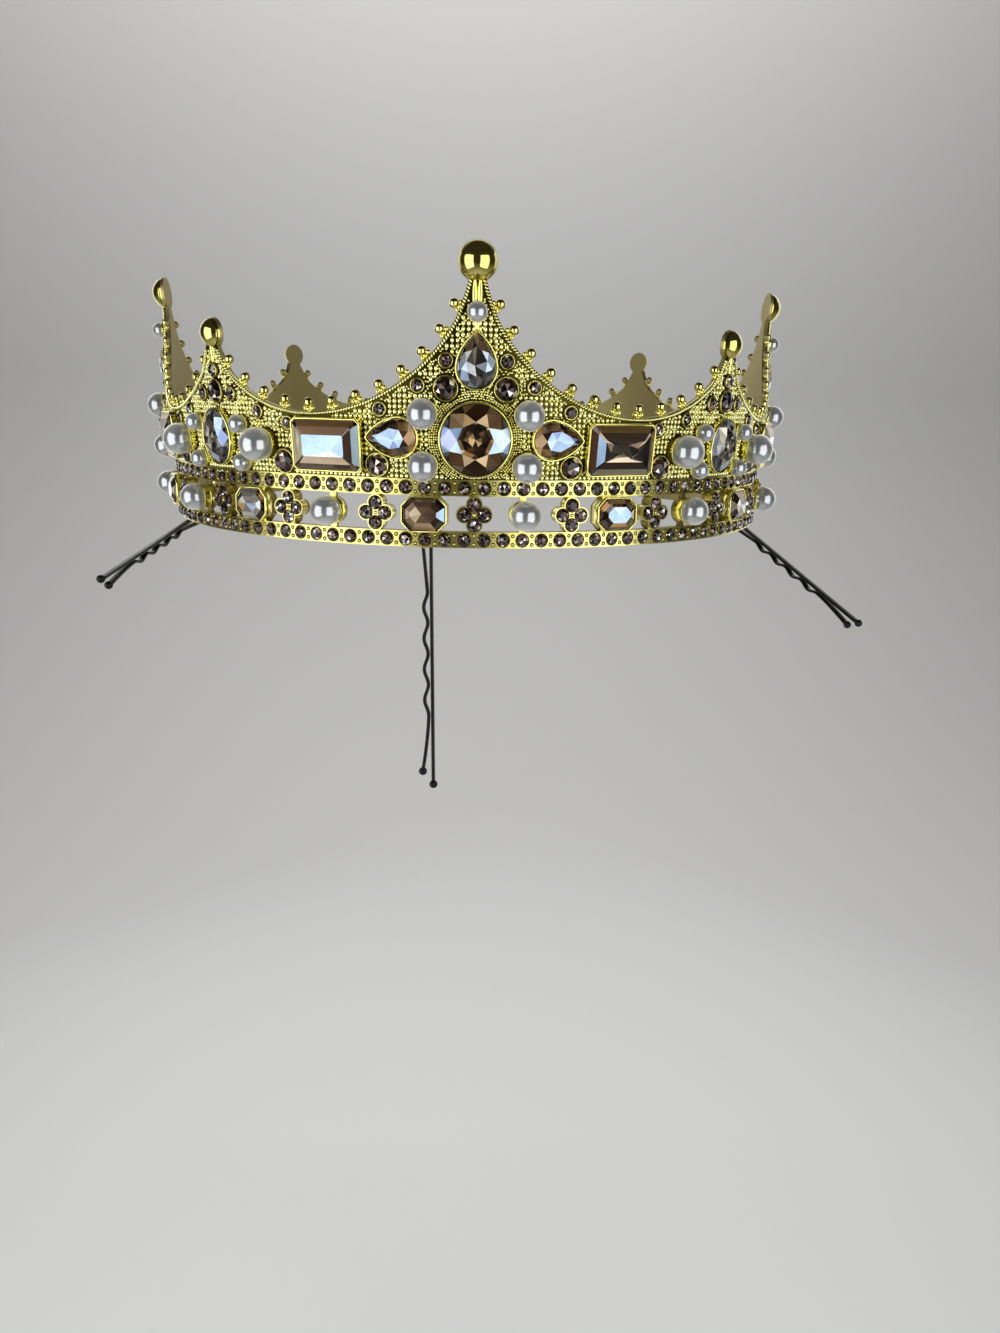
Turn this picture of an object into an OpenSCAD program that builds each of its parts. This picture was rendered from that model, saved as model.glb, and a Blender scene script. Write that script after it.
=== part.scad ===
// Costume crown: a closed gilt ring with eight points, set with cut stones and pearls.
// Lengths are millimetres. Z is up, the front of the crown faces -Y, and z = 0 is the
// underside of the lower rail, where the crown sits. Angles run from the front towards +X.

/* [Ring] */
// Radius of the outer wall where it leaves the rails
ring_r = 82; // [80:0.5:84]
// Thickness of the cast wall behind the stones
wall_t = 1.4; // [1.2:0.1:1.6]
// Outward lean of the wall, in degrees
wall_lean = 5.6; // [4:0.2:7]

/* [Rails] */
// Height of each of the two rails
rail_h = 3.5; // [3.3:0.1:3.7]
// Thickness of the rails
rail_t = 2.1; // [2:0.1:2.3]
// Open height between the rails
rail_gap = 7.75; // [7.65:0.05:7.85]

/* [Points] */
// Height of the middle of a tall point's ball
tall_ball_z = 58.6; // [57.5:0.1:59.5]
// Diameter of a tall point's ball
tall_ball_d = 8.2; // [7.6:0.1:8.8]
// Height of the middle of a short point's ball
short_ball_z = 45; // [44.6:0.1:45.4]
// Diameter of a short point's ball
short_ball_d = 6.8; // [6.4:0.1:7]
// Height of the lowest place of the edge between two points
valley_z = 28.4; // [28.2:0.1:28.6]
// Radius of the edge's curve on the side of the tall point
tall_edge_r = 38.5; // [38:0.1:39]
// Radius of the edge's curve on the side of the short point
short_edge_r = 34.4; // [34:0.1:34.8]
// Diameter of the beads along the edge
edge_bead_d = 2.1; // [1.9:0.1:2.2]

/* [Cut stones] */
// Width of the large round stone under a tall point
round_w = 15; // [14.4:0.1:15.2]
// Length of the upright drop in a tall point
drop_l = 10.9; // [10.6:0.1:11.4]
// Width of the upright drop
drop_w = 8.1; // [7.6:0.1:8.2]
// Length of the two drops beside the large round stone
pear_l = 10.8; // [10.4:0.1:11]
// Width of the two drops beside the large round stone
pear_w = 8; // [7.6:0.1:8.2]
// Width of the rectangular stones between the points
baguette_w = 16; // [15.4:0.1:16.2]
// Height of the rectangular stones
baguette_h = 10.6; // [10.2:0.1:10.8]
// Width of the oval stone under a short point
oval_w = 10.4; // [10:0.1:10.8]
// Height of the oval stone
oval_h = 12.2; // [11.8:0.1:12.4]
// Width of the gilt rim round every large stone
rim = 0.4; // [0.3:0.05:0.45]

/* [Pearls] */
// Diameter of the pearls beside an oval stone
big_pearl_d = 7.4; // [7:0.1:7.6]
// Diameter of the four pearls round a large round stone
mid_pearl_d = 6.4; // [6:0.1:6.6]
// Diameter of the four pearls at the corners of an oval stone
tiny_pearl_d = 4.1; // [3.9:0.1:4.3]
// Diameter of the pearl at the top of a tall point
top_pearl_d = 4.2; // [4:0.1:4.4]
// Diameter of the pearls between the rails
band_pearl_d = 6.5; // [6.2:0.1:6.7]

/* [Band] */
// Width of the eight-sided stones between the rails
octagon_w = 9.2; // [8.8:0.1:9.4]
// Height of the eight-sided stones
octagon_h = 6.9; // [6.6:0.1:7]
// Distance of a clover's lobes from its middle
clover_lobe = 2.15; // [2.1:0.05:2.2]

/* [Hair pins] */
// Length of a hair pin from its bend to its long end
pin_l = 57; // [54:0.5:60]
// Thickness of the pin's flat wire
pin_t = 0.7; // [0.6:0.05:0.75]
// Width of the pin's flat wire
pin_w = 1.4; // [1.2:0.1:1.5]
// Diameter of the ball tips
pin_tip_d = 1.9; // [1.7:0.1:2.1]

/* [Hidden] */
$fn = 64;
SIDES = ["front", "right", "back", "left"];
CORNERS = ["front_right", "back_right", "back_left", "front_left"];
HALVES = ["a", "b"];

// Clearance between a stone or pearl and the metal that holds it
seat_gap = 0.1;
// How far a setting's foot reaches into the wall
foot = 1.1;

// Heights and radii of the band
upper_rail_z = rail_h + rail_gap;
band_top = upper_rail_z + rail_h;
band_mid = rail_h + rail_gap / 2;
rail_r = ring_r + 0.1;
rail_in = rail_r - rail_t;
setting_back = rail_in + 0.6;
setting_lap = 0.075;
wall_top = tall_ball_z - 2;
// How far the wall reaches down behind the upper rail
wall_lap = 0.6;
lean = tan(wall_lean);

// Four tall points at the quarters, a short point half-way between two of them
quarters = [0 : 90 : 270];
point_turn = 45;
valley_turn = 22.5;

// The places of stones are counted in millimetres of arc at this radius
place_r = ring_r + 2.5;
elements = 48;
element_pitch = 360 / elements;

// Places in a tall point: arc from its middle, height, diameter, both sides alike
peak_pearl_rows = [[11.1, 28.8], [11.1, 17.9]];
peak_chip_rows = [
    [6.4, 39.4, 2.7],
    [6.4, 33.8, 4.8],
    [12.4, 34.3, 2.6],
    [20.8, 29.3, 2.6],
    [21.8, 17.6, 4.7]
];
round_z = 23.5;
drop_z = 39.5;
top_pearl_z = 49;
pear_arc = 18;
pear_z = 23.6;
// Places in a short point, in the same columns
corner_big_pearl = [15.8, 21.4];
corner_tiny_rows = [[8.9, 25.4], [8.9, 16.9]];
corner_chip_rows = [
    [5.7, 31.9, 2.7],
    [14.2, 28.2, 2.6],
    [22.8, 25.9, 2.6],
    [20.9, 17.5, 5]
];
corner_middle_chips = [[0, 32.4, 4.8], [0, 37, 2.7]];
oval_z = 22.3;
baguette_z = 21.6;

// Settings and stones: heights above the wall
outline_n = 24;
baguette_cut = 0.8;
// Cut of a stone: where its step lies between girdle and table, how full it is there,
// and the thickness of the two thin sheets that its facets run between
step_at = 0.55;
step_full = 0.06;
sheet = 0.01;
rim_top = 1.7;
pocket_floor = 0.5;
stone_base = pocket_floor + seat_gap;
girdle_top = 1.85;
stone_top = 3.4;
chip_seat = 0.5;
chip_rim = 0.28;
// Height and table of a small round stone, as shares of its diameter
chip_height = 0.3;
chip_table = 0.55;

// Band settings: how far they stand out from the rails' radius
octagon_out = 2;
octagon_rim = 0.4;
octagon_floor = 0.3;
octagon_cut = 1.8;
octagon_top = 2.9;
clover_r = 1.8;
clover_out = 1.3;
peg_w = 1.4;
// How far a peg reaches into each rail, and how far its front stays behind the button's
peg_lap = 0.5;
peg_back = 0.3;
button_r = 3;

// Beads along the edge of the wall
valley_deg = 25.9;
// Turn of one straight step of the edge, how many steps each curve has, and the depth of the cut
edge_step = 3;
tall_edge_steps = 18;
short_edge_steps = 13;
valley_cut = 60;
// Where the curves end, the points taper up to their balls: half width and height.
// A width below 0 lies past the middle of the point, where the ball covers the wall's end
tall_taper = [[5.75, 45.4], [4.65, 47.2], [3.8, 49.1], [3.05, 51.1], [2.4, 53], [1.8, 55.2], [1.8, 61]];
short_taper = [
    [5.3, 36.9], [4.55, 38], [3.85, 39.2], [3.1, 40.5], [2.45, 41.8], [2.2, 42.4], [-1, 43.2], [-6, 58]
];
bead_stand = 1.9;
tall_bead_steps = 7;
tall_bead_pitch = 9.05;
short_bead_steps = 4;
short_bead_pitch = 10.9;
stem_d = 1.1;
// How far a stem reaches into the edge of the wall
stem_root = 0.6;

// Hair pins: name, angle of the hook, its radius and height, then the pin's heading, fall and roll
PINS = [
    ["front", -7.7, 78.1, 1.2, 6, -81, -14],
    ["right", 81, 78, -1.5, 22.5, -21, -90],
    ["left", -72, 78, -1.5, -8.5, -8.2, -90]
];
leg_gap = 2;
leg_pinch = 1.1;
hang = 1.3;
fork_spread = 1.5;
crimps = 4;
crimp_pitch = 7;
crimp_start = 13;
crimp_depth = 0.9;
short_leg = 3;
hook_r = 0.35;
hook_post_r = 0.5;
hook_reach = 1.8;
hook_knob_r = 0.55;
// A hook's post stands this far inside the metal of the rail, and reaches this high into it
hook_inset = 0.1;
hook_root = 2;

// Radius of the wall's face at a height
function wall_r(z) = ring_r + max(0, z - band_top) * lean;
function arc_deg(arc) = arc / place_r * 180 / PI;
// Outlines
function oval_points(w, h, n) = [
    for (i = [0 : n - 1]) let (t = 360 * (i + 0.5) / n) [w / 2 * cos(t), h / 2 * sin(t)]
];
function drop_x(t) = sin(t) * pow(abs(sin(t / 2)), 0.7) / 0.82;
function drop_points(w, l, n) = [
    for (i = [0 : n - 1]) let (t = 360 * i / n) [-w / 2 * drop_x(t), l / 2 * cos(t)]
];
function cut_rect(w, h, c) = [
    [w / 2, h / 2 - c], [w / 2 - c, h / 2], [c - w / 2, h / 2], [-w / 2, h / 2 - c],
    [-w / 2, c - h / 2], [c - w / 2, -h / 2], [w / 2 - c, -h / 2], [w / 2, c - h / 2]
];
function scaled(points, k) = [for (p = points) p * k];
// Outline of a large stone, grown all round for its rim or its play
function outline(kind, grow = 0) =
    kind == "round" ? oval_points(round_w + 2 * grow, round_w + 2 * grow, outline_n)
    : kind == "drop" ? drop_points(drop_w + 2 * grow, drop_l + 2 * grow, outline_n)
    : kind == "pear" ? drop_points(pear_w + 2 * grow, pear_l + 2 * grow, outline_n)
    : kind == "oval" ? oval_points(oval_w + 2 * grow, oval_h + 2 * grow, outline_n)
    : cut_rect(baguette_w + 2 * grow, baguette_h + 2 * grow, baguette_cut);

// Puts something on the wall: its Z points out of the wall, its Y up the wall
module on_wall(deg, z)
    rotate([0, 0, deg])
        translate([0, -wall_r(z), z])
            rotate([90 + wall_lean, 0, 0])
                children();

// Puts something on the band at a radius, Z pointing out
module on_band(deg, r)
    rotate([0, 0, deg])
        translate([0, -r, band_mid])
            rotate([90, 0, 0])
                children();

// A stone cut with a girdle, one step and a table
module cut_stone(points, base = stone_base, girdle = girdle_top, top = stone_top, table = 0.56)
    hull() {
        translate([0, 0, base])
            linear_extrude(girdle - base)
                polygon(points);
        translate([0, 0, girdle + (top - girdle) * step_at])
            linear_extrude(sheet)
                polygon(scaled(points, (1 + table) / 2 + step_full));
        translate([0, 0, top - sheet])
            linear_extrude(sheet)
                polygon(scaled(points, table));
    }

// A small round stone with eight facets round its table
module chip_stone(d)
    translate([0, 0, chip_seat + seat_gap])
        cylinder(h = chip_height * d, d1 = d, d2 = chip_table * d, $fn = 8);

// The metal round a large stone, and the pocket cut into it
module setting(kind)
    translate([0, 0, -foot])
        linear_extrude(rim_top + foot)
            polygon(outline(kind, rim));
module pocket(kind)
    translate([0, 0, pocket_floor])
        linear_extrude(rim_top)
            polygon(outline(kind, seat_gap));

// The same places serve the settings, the pockets and the stones
module on_sides(deg, arc, z)
    for (side = [-1, 1])
        on_wall(deg + side * arc_deg(arc), z)
            children();
module at_round(deg) on_wall(deg, round_z) children();
module at_drop(deg) on_wall(deg, drop_z) children();
module at_oval(deg) on_wall(deg, oval_z) children();
module at_pear(deg, side)
    on_wall(deg + side * arc_deg(pear_arc), pear_z)
        rotate([0, 0, -side * 90])
            children();
module at_baguette(deg, side) on_wall(deg + side * valley_turn, baguette_z) children();

// Frame
module rails() {
    for (z = [0, upper_rail_z])
        translate([0, 0, z])
            rotate_extrude($fn = 180)
                translate([rail_in, 0])
                    square([rail_t, rail_h]);
}

module wall_ring()
    rotate_extrude($fn = 180)
        polygon([
            [ring_r - wall_t, band_top - wall_lap],
            [ring_r, band_top - wall_lap],
            [ring_r, band_top],
            [wall_r(wall_top), wall_top],
            [wall_r(wall_top) - wall_t, wall_top],
            [ring_r - wall_t, band_top]
        ]);

// Outline of the opening over a valley, in short straight steps along its two curves
function edge_point(r, i, side) = [side * r * sin(i * edge_step), r * (1 - cos(i * edge_step))];
function taper_point(p, turn, side) =
    [side * wall_r(p[1]) * sin(turn - p[0] / wall_r(p[1]) * 180 / PI), p[1] - valley_z];
function valley_outline(side) = concat(
    [for (i = [len(short_taper) - 1 : -1 : 0]) taper_point(short_taper[i], point_turn - valley_deg, side)],
    [for (i = [short_edge_steps : -1 : 1]) edge_point(short_edge_r, i, side)],
    [for (i = [0 : tall_edge_steps]) edge_point(tall_edge_r, i, -side)],
    [for (p = tall_taper) taper_point(p, valley_deg, -side)]
);

module valleys()
    for (deg = quarters, side = [-1, 1])
        rotate([0, 0, deg + side * valley_deg])
            translate([0, -ring_r, valley_z])
                rotate([90, 0, 0])
                    linear_extrude(valley_cut, center = true)
                        polygon(valley_outline(side));

// A half ball on a point, its flat side level with the back of the wall
module finial(deg, z, d)
    on_wall(deg, z)
        translate([0, 0, -wall_t])
            intersection() {
                sphere(d = d);
                cylinder(h = d, d = 2 * d);
            }

// A bead on its stem; the stem runs down into the edge of the wall
module edge_bead(turn)
    translate([0, 0, -wall_t / 2])
        rotate([0, 0, turn]) {
            sphere(d = edge_bead_d);
            rotate([90, 0, 0])
                cylinder(h = bead_stand + stem_root, d = stem_d);
        }

module bead_row(side, r, pitch, first, last, towards)
    for (i = [first : last]) {
        phi = i * pitch;
        x = (r - bead_stand) * sin(phi);
        z = valley_z + r - (r - bead_stand) * cos(phi);
        turned = asin(x / (wall_r(z) - wall_t / 2));
        on_wall(side * (valley_deg + towards * turned), z)
            edge_bead(side * towards * phi);
    }

module edge_beads()
    for (deg = quarters, side = [-1, 1])
        rotate([0, 0, deg]) {
            bead_row(side, tall_edge_r, tall_bead_pitch, 0, tall_bead_steps, -1);
            bead_row(side, short_edge_r, short_bead_pitch, 1, short_bead_steps, 1);
        }

module large_settings(deg) {
    at_round(deg) setting("round");
    at_drop(deg) setting("drop");
    at_oval(deg + point_turn) setting("oval");
    for (side = [-1, 1]) {
        at_pear(deg, side) setting("pear");
        at_baguette(deg, side) setting("baguette");
    }
}

module large_pockets(deg) {
    at_round(deg) pocket("round");
    at_drop(deg) pocket("drop");
    at_oval(deg + point_turn) pocket("oval");
    for (side = [-1, 1]) {
        at_pear(deg, side) pocket("pear");
        at_baguette(deg, side) pocket("baguette");
    }
}

module chip_seat_disc(d)
    translate([0, 0, -foot])
        cylinder(h = chip_seat + foot, d = d + 2 * chip_rim, $fn = 32);

module chip_seats(deg, rows, middle_rows) {
    for (row = rows)
        on_sides(deg, row[0], row[1])
            chip_seat_disc(row[2]);
    for (row = middle_rows)
        on_wall(deg, row[1])
            chip_seat_disc(row[2]);
}

// Settings between the rails; they also tie the two rails together
module band_button()
    on_band(0, setting_back) {
        cylinder(h = ring_r - setting_back, r = button_r);
        translate([-peg_w / 2, -rail_gap / 2 - peg_lap, 0])
            cube([peg_w, rail_gap + 2 * peg_lap, ring_r - setting_back - peg_back]);
    }

module band_octagon_setting()
    on_band(0, setting_back)
        difference() {
            linear_extrude(rail_r + octagon_out - setting_back)
                polygon(cut_rect(octagon_w + 2 * octagon_rim, rail_gap + 2 * setting_lap, octagon_cut + 0.2));
            translate([0, 0, rail_r + octagon_floor - setting_back])
                linear_extrude(octagon_out)
                    polygon(cut_rect(octagon_w + 2 * seat_gap, octagon_h + 2 * seat_gap, octagon_cut));
        }

module band_clover()
    on_band(0, setting_back)
        for (a = [0 : 90 : 270])
            rotate([0, 0, a])
                translate([clover_lobe, 0, 0])
                    cylinder(h = rail_r + clover_out - setting_back, r = clover_r, $fn = 32);

module band_settings()
    for (i = [0 : elements - 1])
        rotate([0, 0, i * element_pitch]) {
            if (i % 4 == 1) band_button();
            if (i % 4 == 3) band_octagon_setting();
            if (i % 2 == 0) band_clover();
        }

// A hook inside the lower rail that a hair pin hangs on
module pin_hook(deg, r, z)
    rotate([0, 0, deg]) {
        translate([0, -rail_in - hook_inset, min(z, 0) - hook_post_r])
            cylinder(h = hook_root + hook_post_r - min(z, 0), r = hook_post_r, $fn = 24);
        translate([0, -rail_in - hook_inset, z])
            rotate([-90, 0, 0])
                cylinder(h = rail_in - r + hook_reach, r = hook_r, $fn = 24);
        translate([0, -r + hook_reach, z])
            sphere(r = hook_knob_r, $fn = 24);
    }

module frame() color("gold") {
    difference() {
        union() {
            difference() {
                wall_ring();
                valleys();
            }
            rails();
            band_settings();
            edge_beads();
            for (deg = quarters) {
                finial(deg, tall_ball_z, tall_ball_d);
                finial(deg + point_turn, short_ball_z, short_ball_d);
                large_settings(deg);
                chip_seats(deg, peak_chip_rows, []);
                chip_seats(deg + point_turn, corner_chip_rows, corner_middle_chips);
            }
            for (pin = PINS)
                pin_hook(pin[1], pin[2], pin[3]);
        }
        for (deg = quarters)
            large_pockets(deg);
    }
}

// Stones and pearls
module round_stone(deg) color("peru") at_round(deg) cut_stone(outline("round"));
module drop_stone(deg) color("wheat") at_drop(deg) cut_stone(outline("drop"));
module oval_stone(deg) color("wheat") at_oval(deg) cut_stone(outline("oval"));
module pear_stone(deg, side) color("tan") at_pear(deg, side) cut_stone(outline("pear"));
module baguette(deg, side) color("tan") at_baguette(deg, side) cut_stone(outline("baguette"), table = 0.64);

module pearl(d)
    translate([0, 0, d / 2 + seat_gap])
        sphere(d = d);

module big_pearl(deg, side) color("ivory")
    on_wall(deg + side * arc_deg(corner_big_pearl[0]), corner_big_pearl[1])
        pearl(big_pearl_d);

module peak_pearls(deg) color("ivory") {
    for (row = peak_pearl_rows)
        on_sides(deg, row[0], row[1])
            pearl(mid_pearl_d);
    on_wall(deg, top_pearl_z)
        pearl(top_pearl_d);
}

module corner_pearls(deg) color("ivory")
    for (row = corner_tiny_rows)
        on_sides(deg, row[0], row[1])
            pearl(tiny_pearl_d);

module chips(deg, rows, middle_rows) color("dimgray") {
    for (row = rows)
        on_sides(deg, row[0], row[1])
            chip_stone(row[2]);
    for (row = middle_rows)
        on_wall(deg, row[1])
            chip_stone(row[2]);
}

module band_pearls() color("ivory")
    for (i = [1 : 4 : elements - 1])
        on_band(i * element_pitch, ring_r)
            pearl(band_pearl_d);

module band_octagons() color("tan")
    for (i = [3 : 4 : elements - 1])
        on_band(i * element_pitch, rail_r + octagon_floor)
            cut_stone(
                cut_rect(octagon_w, octagon_h, octagon_cut),
                base = seat_gap,
                girdle = octagon_out - octagon_floor,
                top = octagon_top,
                table = 0.6
            );

// Hair pin: a flat wire bent double, one straight leg and one crimped leg, ball tips
function crimp_x(t) = let (u = (t - crimp_start) / crimp_pitch)
    u < 0 || u > crimps ? 0 : crimp_depth * (1 - cos(360 * u)) / 2;
function fork_x(t) = let (first = crimp_start + crimps * crimp_pitch, last = pin_l - short_leg)
    t < first ? 0 : fork_spread * pow((t - first) / (last - first), 1.5);
function leg_x(t) = leg_pinch * min(1, t / crimp_start) - leg_gap - crimp_x(t) - fork_x(t);
leg_steps = 54;
wire = concat(
    [[0, -pin_l]],
    [for (a = [0 : 20 : 180]) [leg_gap / 2 * (cos(a) - 1), leg_gap / 2 * sin(a)]],
    [for (i = [1 : leg_steps]) let (t = i * (pin_l - short_leg) / leg_steps) [leg_x(t), -t]]
);
function wire_normal(i) = let (
    a = wire[max(0, i - 1)],
    b = wire[min(len(wire) - 1, i + 1)],
    d = (b - a) / norm(b - a)
) [-d[1], d[0]];
wire_outline = concat(
    [for (i = [0 : len(wire) - 1]) wire[i] + wire_normal(i) * pin_t / 2],
    [for (i = [len(wire) - 1 : -1 : 0]) wire[i] - wire_normal(i) * pin_t / 2]
);

module hair_pin(deg, r, z, heading, fall, roll) color("black")
    translate([r * sin(deg), -r * cos(deg), z])
        rotate([0, 0, heading])
            rotate([-(90 + fall), 0, 0])
                rotate([0, 0, roll])
                    translate([leg_gap / 2, 0, hang])
                        rotate([90, 0, 0]) {
                            linear_extrude(pin_w, center = true)
                                polygon(wire_outline);
                            translate([0, -pin_l, 0])
                                sphere(d = pin_tip_d, $fn = 32);
                            translate([leg_x(pin_l - short_leg), short_leg - pin_l, 0])
                                sphere(d = pin_tip_d, $fn = 32);
                        }

frame();
for (k = [0 : 3]) {
    round_stone(k * 90);
    drop_stone(k * 90);
    peak_pearls(k * 90);
    chips(k * 90, peak_chip_rows, []);
    oval_stone(k * 90 + point_turn);
    corner_pearls(k * 90 + point_turn);
    chips(k * 90 + point_turn, corner_chip_rows, corner_middle_chips);
    for (h = [0, 1]) {
        pear_stone(k * 90, 2 * h - 1);
        baguette(k * 90 + point_turn, 2 * h - 1);
        big_pearl(k * 90 + point_turn, 2 * h - 1);
    }
}
band_pearls();
band_octagons();
for (pin = PINS)
    hair_pin(pin[1], pin[2], pin[3], pin[4], pin[5], pin[6]);
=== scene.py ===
import math
import random

import bmesh
import bpy
import numpy as np
from mathutils import Euler, Matrix, Vector


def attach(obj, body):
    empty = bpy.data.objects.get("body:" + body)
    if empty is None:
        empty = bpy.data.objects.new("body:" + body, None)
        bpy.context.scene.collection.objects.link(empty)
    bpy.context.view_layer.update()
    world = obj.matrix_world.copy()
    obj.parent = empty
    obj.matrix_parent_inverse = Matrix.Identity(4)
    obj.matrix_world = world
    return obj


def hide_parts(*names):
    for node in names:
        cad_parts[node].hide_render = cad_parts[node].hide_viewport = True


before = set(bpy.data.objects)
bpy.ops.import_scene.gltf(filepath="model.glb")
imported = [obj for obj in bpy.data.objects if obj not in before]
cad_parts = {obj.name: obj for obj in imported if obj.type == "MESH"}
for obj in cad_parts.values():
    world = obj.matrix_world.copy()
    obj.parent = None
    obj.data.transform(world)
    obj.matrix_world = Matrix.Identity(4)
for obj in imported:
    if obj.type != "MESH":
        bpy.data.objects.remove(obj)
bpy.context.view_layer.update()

# Lengths below are millimetres in the crown's own frame; meshes are made in metres.
MM = 0.001
RING_R = 82.0
WALL_T = 1.4
LEAN_DEG = 5.6
LEAN = math.tan(math.radians(LEAN_DEG))
RAIL_H = 3.5
RAIL_GAP = 7.75
UPPER_Z = RAIL_H + RAIL_GAP
BAND_TOP = UPPER_Z + RAIL_H
BAND_MID = RAIL_H + RAIL_GAP / 2
RAIL_R = 82.1
BAND_PLACES = 48
BAND_STEP = 360 / BAND_PLACES
PLACE_R = RING_R + 2.5
SIDES = ["front", "right", "back", "left"]
CORNERS = ["front_right", "back_right", "back_left", "front_left"]
HALVES = {"a": -1, "b": 1}
VALLEY_DEG, VALLEY_Z = 25.9, 28.4
TALL_R, SHORT_R = 38.5, 34.4
POINT_TURN, EDGE_STEP, TALL_STEPS, SHORT_STEPS, EDGE_FINER = 45.0, 3, 18, 13, 4
TALL_TAPER = [(5.75, 45.4), (4.65, 47.2), (3.8, 49.1), (3.05, 51.1), (2.4, 53.0), (1.8, 55.2)]
SHORT_TAPER = [(5.3, 36.9), (4.55, 38.0), (3.85, 39.2), (3.1, 40.5), (2.45, 41.8)]
TALL_BALL_Z, TALL_BALL_D = 58.6, 8.2
SHORT_BALL_Z, SHORT_BALL_D = 45.0, 6.8
ROUND_Z, DROP_Z, TOP_PEARL_Z = 23.5, 39.5, 49.0
PEAR_ARC, PEAR_Z, OVAL_Z, BAGUETTE_Z, BAGUETTE_TURN = 18.0, 23.6, 22.3, 21.6, 22.5
# Arc from the point's middle and height, with the diameter of each chip
PEAK_PEARLS = [(11.1, 28.8), (11.1, 17.9)]
PEAK_CHIPS = [(6.4, 39.4, 2.7), (6.4, 33.8, 4.8), (12.4, 34.3, 2.6), (20.8, 29.3, 2.6), (21.8, 17.6, 4.7)]
BIG_PEARL = (15.8, 21.4)
TINY_PEARLS = [(8.9, 25.4), (8.9, 16.9)]
CORNER_CHIPS = [(5.7, 31.9, 2.7), (14.2, 28.2, 2.6), (22.8, 25.9, 2.6), (20.9, 17.5, 5.0)]
MIDDLE_CHIPS = [(0, 32.4, 4.8), (0, 37.0, 2.7)]
ROUND_W, DROP_L, DROP_W, PEAR_L, PEAR_W = 15.0, 10.9, 8.1, 10.8, 8.0
OVAL_W, OVAL_H, BAGUETTE_W, BAGUETTE_H, BAGUETTE_CUT = 10.4, 12.2, 16.0, 10.6, 0.8
OCTAGON_W, OCTAGON_H, OCTAGON_CUT = 9.2, 6.9, 1.8
MID_PEARL, TOP_PEARL, BIG_PEARL_D, TINY_PEARL, BAND_PEARL = 6.4, 4.2, 7.4, 4.1, 6.5
# Heights above the metal: a stone's girdle and its thickness, its table, and the seats of stones
GIRDLE, GIRDLE_H, STONE_TOP, POCKET_Z, SMALL_SEAT = 1.85, 0.3, 3.4, 0.62, 0.06
random.seed(7)


# Places, the same as in the part's source

def turn(deg, axis="Z"):
    return np.array(Matrix.Rotation(math.radians(deg), 4, axis))


def shift(x, y, z):
    m = np.eye(4)
    m[:3, 3] = x, y, z
    return m


def wall_r(z):
    return RING_R + max(0.0, z - BAND_TOP) * LEAN


def arc_deg(arc):
    return math.degrees(arc / PLACE_R)


def on_wall(deg, z, out=0.0, roll=0.0):
    """A place on the wall whose Z points out of it: degrees round, height, distance out, and its own turn."""
    return turn(deg) @ shift(0, -wall_r(z), z) @ turn(90 + LEAN_DEG, "X") @ turn(roll) @ shift(0, 0, out)


def on_band(deg, r, z=BAND_MID):
    return turn(deg) @ shift(0, -r, z) @ turn(90, "X")


# Small forms: vertices and faces in a local frame whose Z points out of the metal

def once(*corners):
    """A face's corners, each of them once."""
    return tuple(dict.fromkeys(corners))


def lathe(profile, n):
    """Turns a profile of (radius, height) round Z. A radius of 0 closes it."""
    verts, rings, faces = [], [], []
    for r, z in profile:
        first = len(verts)
        if r == 0:
            rings.append([first] * n)
            verts.append((0, 0, z))
        else:
            rings.append(range(first, first + n))
            verts += [(x, y, z) for x, y in oval_outline(2 * r, 2 * r, n)]
    for a, b in zip(rings, rings[1:]):
        for i in range(n):
            j = (i + 1) % n
            faces.append(once(a[i], a[j], b[j], b[i]))
    return np.array(verts, float), faces


def grown(points, d):
    """An outline moved out by d all round."""
    p = np.array(points, float)
    edge = p - np.roll(p, 1, 0)
    before = np.c_[edge[:, 1], -edge[:, 0]] / np.maximum(np.hypot(*edge.T), 1e-9)[:, None]
    out = before + np.roll(before, -1, 0)
    out /= np.maximum(np.hypot(*out.T), 1e-9)[:, None]
    return p + out * d / np.maximum((out * before).sum(1), 0.5)[:, None]


def ring_form(points, section):
    """Sweeps a closed section of (outward, height) round an outline."""
    loops = [np.c_[grown(points, o), np.full(len(points), h)] for o, h in section]
    n, k = len(points), len(section)
    verts = np.vstack(loops)
    faces = [
        (((s + 1) % k) * n + i, ((s + 1) % k) * n + (i + 1) % n, s * n + (i + 1) % n, s * n + i)
        for s in range(k) for i in range(n)
    ]
    return verts, faces


def oval_outline(w, h, n, start=0.0):
    return [
        (w / 2 * math.cos(2 * math.pi * (i + start) / n), h / 2 * math.sin(2 * math.pi * (i + start) / n))
        for i in range(n)
    ]


def drop_outline(w, l, n, start=0.0):
    """A drop with its tip at the top."""
    out = []
    for i in range(n):
        t = 2 * math.pi * (i + start) / n
        out.append((-w / 2 * math.sin(t) * abs(math.sin(t / 2)) ** 0.7 / 0.82, l / 2 * math.cos(t)))
    return out


def cut_rect(w, h, c):
    x, y = w / 2, h / 2
    right, left = [(x, y - c), (x - c, y)], [(c - x, y), (-x, y - c)]
    return right + left + [(-a, -b) for a, b in right + left]


def inside(point, outline):
    """Whether a point lies within an outline."""
    x, y = point
    hit = False
    for (x1, y1), (x2, y2) in zip(outline, np.roll(outline, -1, axis=0)):
        if (y1 > y) != (y2 > y) and x < (x2 - x1) * (y - y1) / (y2 - y1) + x1:
            hit = not hit
    return hit


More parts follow.
